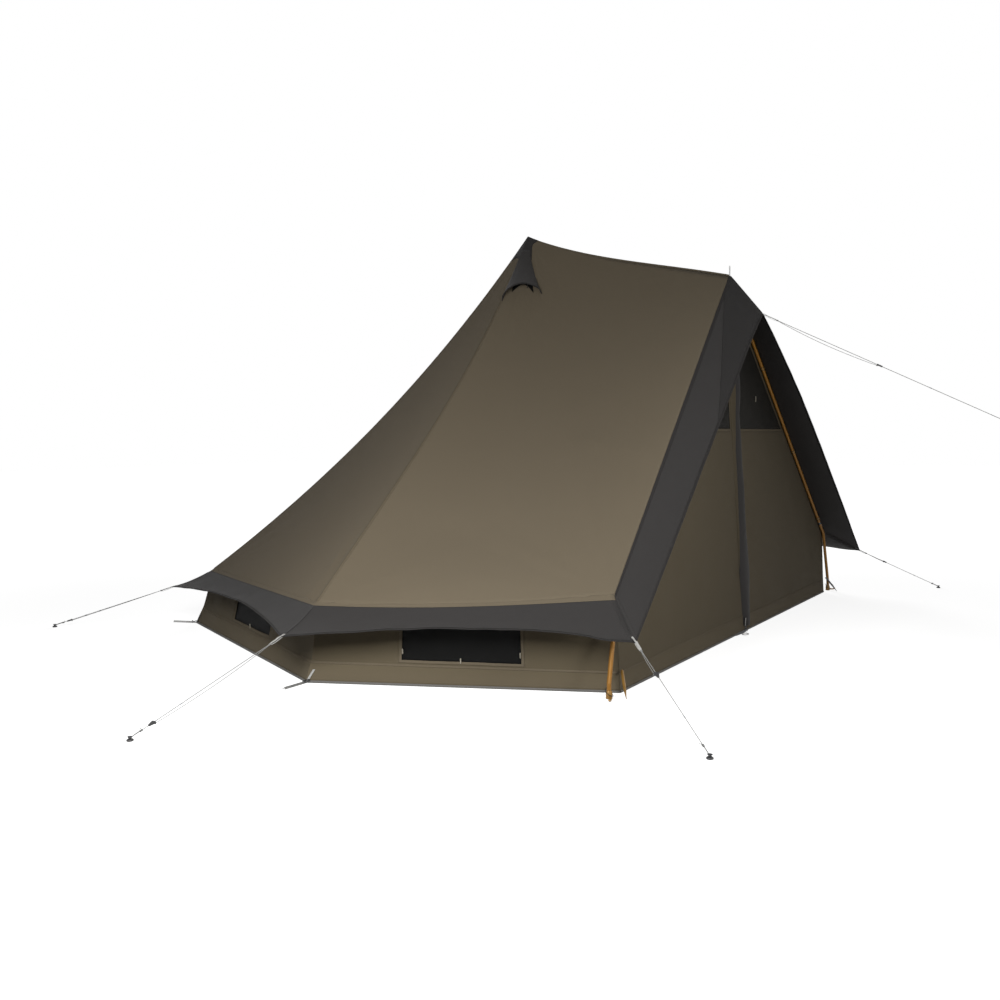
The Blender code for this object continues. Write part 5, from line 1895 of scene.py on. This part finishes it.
def webbing_tab(name, start, way, length):
    """A folded webbing tab that runs along a line from the cloth's corner, with the cord through its end."""
    across, up = line_frame(way)
    back, bend, width, rows = 0.026, 0.0036, 0.0105, 44

    def spine(v):
        run = v * (2 * length + 2 * back)
        upper = run < length + back
        along = run - back if upper else 2 * length + back - run
        lift = -0.0009 if upper else 0.0020
        if along > length - bend:
            turn = (along - length + bend) / bend * math.pi / 2
            along = length - bend + bend * math.sin(turn)
            lift += bend * math.cos(turn)
        else:
            lift += bend * smooth(-back, length * 0.6, along)
            if upper:
                lift += 0.003 * (1 - smooth(0.008, 0.030, along))
        return way * along + up * (lift if upper else -lift)

    def place(u, v):
        pinch = 1 - 0.22 * smooth(0.30, 0.5, v) * (1 - smooth(0.5, 0.70, v))
        return start + spine(v) + across * (u - 0.5) * width * pinch

    shape = grid(8, rows, place, lambda u, v, _: ((u - 0.5) * width, v * 2 * (length + back)))
    return thick(piece(name, shape, "webbing", angle=50), 0.0011, 0)


def tensioner(label, body, place, way, hand):
    """A three-cornered plastic slider, wide at its back, with a lip round each hole."""
    across, up = line_frame(way)
    half, depth, wide, nose = 0.0138, 0.0078, 0.0102, 0.0036
    low = place - up * depth / 2
    outline = [
        low - way * half + across * wide * 0.86,
        low - way * (half - 0.002) + across * wide,
        low - way * 0.0062 + across * wide,
        low + way * (half - 0.004) + across * nose * 1.25,
        low + way * half + across * nose * 0.7,
    ]
    outline += [point - across * 2 * (point - low).dot(across) for point in reversed(outline)]
    shape = slab(outline, up * depth)
    bevelled(shape, 0.0013, 3)
    name = "tensioner_" + label
    made = piece(name + "_body", shape, "plastic", body, slot="black_plastic", nodes=[name], angle=35)
    for tag, spot in (("nose", half), ("back", -half)):
        ring(f"{name}_{tag}_lip", place + way * spot, way, 0.0031, 0.0009, "plastic", body)
    side_hole = place - way * 0.0090 + across * 0.0064 * hand
    for tag, lift in (("top", depth / 2), ("under", -depth / 2)):
        ring(f"{name}_{tag}_eye", side_hole + up * lift, up, 0.0026, 0.0007, "plastic", body)
    return made, side_hole - up * depth / 2


HEAD_PROFILE = (
    [(0, 0), (0.0118, 0), (0.0130, 0.0012), (0.0132, 0.0040), (0.0122, 0.0064), (0.0096, 0.0078)]
    + [(0.0064, 0.0086), (0.0044, 0.0100), (0.0040, 0.0122), (0.0046, 0.0142), (0.0088, 0.0150)]
    + [(0.0100, 0.0160), (0.0094, 0.0172), (0.0050, 0.0180), (0, 0.0181)]
)


def stake_end(label, end, stake, way):
    """The cord's loop round its stake with the knot, the doubled end and its tail, and the stake's head."""
    across, up = line_frame(way)
    loop = ring("stake_loop_" + label, Vector((stake.x, stake.y, end.z)), UP, 0.0056, 0.0014, "cord")
    spot = end - way * 0.052
    knot = coil("stake_knot_" + label, spot, way, 0.0029, 4, 0.0014, "cord")
    rises = [math.sin(math.pi * (k + 1) / 8) for k in range(7)]
    doubled = [end - way * (0.050 - 0.046 * k / 6) + up * 0.0024 * rise for k, rise in enumerate(rises)]
    second = tube("doubled_" + label, doubled, 0.0014, "cord", sides=8)
    tail = [spot + across * (0.002 + 0.013 * k / 5) + up * (0.001 + 0.004 * k / 5) for k in range(6)]
    loose = tube("knot_tail_" + label, tail, RETURN_RADIUS, "cord", sides=8)
    node = "stake_" + label
    head = lathe(node + "_head", HEAD_PROFILE, stake, "dark_metal", slot="steel", nodes=[node])
    return [loop, knot, second, loose, head]


def loop_end(end, way):
    """The tied loop at the end of the forward cord."""
    across, _ = line_frame(way)
    long_half, wide_half = LOOP_LENGTH / 2 - LINE_RADIUS, LOOP_WIDTH / 2 - LINE_RADIUS
    eye = []
    for k in range(41):
        turn = 2 * math.pi * k / 40
        spot = end + way * 0.0005 + way * (1 - math.cos(turn)) * long_half
        eye.append(spot + across * math.sin(turn) * wide_half)
    loop = tube("ridge_loop", eye, LINE_RADIUS, "cord", capped=False, nodes=["ridge_line_loop"], slot="cord")
    return [loop, coil("ridge_loop_knot", end - way * 0.008, way, 0.0031, 4, 0.0014, "cord")]


def guyline(label, start, end, share, stake=None):
    """One cord, drawn tight: its tab, the strand that comes back to the slider, knots and slider."""
    way = (end - start).normalized()
    across, up = line_frame(way)
    body = "tensioner_" + label
    tab_length, bow, hand = TABS[label.split("_")[0]]
    tab_end = start + way * (tab_length + 0.001)
    extra = [webbing_tab("tab_" + label, start - way * 0.002, way, tab_length)]
    extra.append(coil("tab_knot_" + label, tab_end - way * 0.002, way, 0.0030, 3, KNOT_WIRE, "cord"))
    slider, hole = tensioner(label, body, start.lerp(end, share), way, hand)
    extra.append(slider)
    first = tab_end + across * 0.0022 * hand
    route = []
    for part in divided([0, 1], [18]):
        sway = math.sin(math.pi * part) ** 0.8
        route.append(first.lerp(hole, part) + across * bow * 0.7 * hand * sway - up * bow * 0.8 * sway)
    strand = tube("return_" + label, route, RETURN_RADIUS, "cord", None, sides=8)
    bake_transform(strand)
    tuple(hole)
    length = runs_of(route)[-1]
    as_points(route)
    spot = hole - up * 0.0036 - way * 0.002
    stop = coil("stop_knot_" + label, spot, up, 0.0022, 2, RETURN_RADIUS, "cord", body)
    nodes = ["guyline_" + label]
    route = [start.lerp(end, k / 24) for k in range(25)]
    extra += loop_end(end, way) if stake is None else stake_end(label, end, stake, way)
    main = tube("line_" + label, route, LINE_RADIUS, "cord", sides=10, nodes=nodes, slot="cord")
    for k, part in enumerate((0.62, 0.74) if "rear" in label else (0.70,)):
        spot = start.lerp(end, part)
        if abs(part - share) > 0.04:
            band = [spot - way * 0.007, spot - way * 0.006, spot + way * 0.006, spot + way * 0.007]
            extra.append(tube(f"marker_{label}_{k}", band, 0.0024, "marker", sides=10))
    extra + [stop]
    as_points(route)


for label, side in SIDES.items():
    for name, (start, end, share) in LINES.items():
        full = f"{name}_{label}"
        guyline(full, flip(start, side), flip(end, side), share, flip(STAKES[name], side))

ridge_way = Vector((0, -0.89371, -0.44864)).normalized()
ridge_start = Vector((0, -1.522, 1.7675)) + ridge_way * 0.0012
guyline("ridge", ridge_start, ridge_start + ridge_way * 1.3763, 0.50)


pole_clips = [
    pole_clip(f"clip_{label}_{k}", share, side)
    for label, side in SIDES.items()
    for k, share in enumerate(CLIP_SHARES)
]
for make in (sleeve, boot, side_gear):
    both(make)
door_gear()


# The cloth's pieces, gathered from their lists within lists


def several(*groups):
    """All the pieces in lists within lists."""
    found = []
    for group in groups:
        found += several(*group) if isinstance(group, (list, tuple)) else [group]
    return found


several(roof_seams, frame_seams, pole_clips)
several(eave_line, valance_hem, tip_seams, front_tips)
several(wall_seam, wall_welt, window_hems, toggles[: len(WALLS)])
for entry, item in zip(WALLS, window_sheets):
    entry[5] + 0.02
leaves = zip(front_cloths, front_meshes, front_trims, zip_pieces, toggles[-2:])
for cloth, mesh, trims, toothed, hanging in leaves:
    several(trims, toothed)


# Light, floor and camera


def lit_by_kind(paint, others, seen_as, output):
    """Show one shader to the camera and another to the rest of the light."""
    chosen = paint.node("ShaderNodeMixShader", None, {0: paint.seen(), 1: others, 2: seen_as})
    paint.node(output, None, {"Surface": chosen})
    return paint.owner


# Each lamp's name, place, target, power and size
LAMPS = [
    ("low_left", (-3.9, -1.3, 1.6), (-1.2, -0.2, 0.5), 72, 1.0),
    ("front_low", (-1.8, -3.3, 1.0), (-0.9, -1.4, 0.8), 16, 0.4),
    ("front_mid", (-1.2, -3.0, 1.7), (-0.4, -1.4, 1.2), 5.5, 0.4),
    ("far_side", (5.2, 2.8, 2.2), (0.4, 0.3, 0.8), 150, 2.2),
]
FLOOR_HALF, FLOOR_DEPTH = 30, 0.001
FLOOR_SEEN, FLOOR_BOUNCE = (0.62, 0.62, 0.62, 1), (0.38, 0.38, 0.38, 1)


def studio():
    """White floor and backdrop, and soft lamps."""
    paint = material("studio_floor")
    white = (1, 1, 1, 1)
    matt = paint.node("ShaderNodeBsdfDiffuse", None, {"Color": FLOOR_SEEN})
    away = paint.node("ShaderNodeVectorMath", {"operation": "LENGTH"}, {0: paint.place()}, 1)
    lit = 0.86 + 0.16 * away.step(2.5, 6.5)
    glow = paint.node("ShaderNodeEmission", None, {"Color": white, "Strength": lit})
    bright = paint.node("ShaderNodeAddShader", None, {0: matt, 1: glow})
    bounce = paint.node("ShaderNodeBsdfDiffuse", None, {"Color": FLOOR_BOUNCE})
    shape = bmesh.new()
    bmesh.ops.create_grid(shape, x_segments=4, y_segments=4, size=FLOOR_HALF)
    mesh = bpy.data.meshes.new("studio_floor")
    shape.to_mesh(mesh)
    shape.free()
    mesh.materials.append(lit_by_kind(paint, bounce, bright, "ShaderNodeOutputMaterial"))
    mesh.transform(Matrix.Translation((0, 0, -FLOOR_DEPTH)))
    scene_item("studio_floor", mesh)

    world = bpy.data.worlds.new("studio")
    bpy.context.scene.world = world
    paint = Paint(world)
    skies = []
    for power in (0.02, 1.0):
        skies.append(paint.node("ShaderNodeBackground", None, {"Color": white, "Strength": power}))
    lit_by_kind(paint, *skies, "ShaderNodeOutputWorld")

    for name, place, target, power, size in LAMPS:
        lamp = bpy.data.lights.new(name, "AREA")
        lamp.energy = power
        lamp.size = size
        item = scene_item(name, lamp)
        item.location = place
        item.rotation_euler = (Vector(target) - Vector(place)).to_track_quat("-Z", "Y").to_euler()
        item.visible_camera = False
    bpy.context.scene.view_settings.view_transform = "Standard"


CAMERA_PLACE = (-5.288163, -3.300290, 1.108981)
CAMERA_TURN = (-56.286722, -3.752748, -0.467259)
FOCAL_LENGTH = 34.897


def camera():
    """The camera: where the photograph's rays meet the tent's corners."""
    yaw, pitch, roll = (math.radians(a) for a in CAMERA_TURN)
    level = math.cos(pitch)
    forward = Vector((-math.sin(yaw) * level, math.cos(yaw) * level, math.sin(pitch)))
    right = forward.cross(UP).normalized()
    up = right.cross(forward)
    across = right * math.cos(roll) + up * math.sin(roll)
    above = up * math.cos(roll) - right * math.sin(roll)
    lens = bpy.data.cameras.new("photograph")
    lens.sensor_width = 36
    lens.lens = FOCAL_LENGTH
    lens.clip_start = 0.05
    lens.clip_end = 200
    item = scene_item("photograph", lens)
    turn = Matrix((across, above, -forward)).transposed().to_4x4()
    item.matrix_world = Matrix.Translation(CAMERA_PLACE) @ turn
    bpy.context.scene.camera = item


studio()
camera()
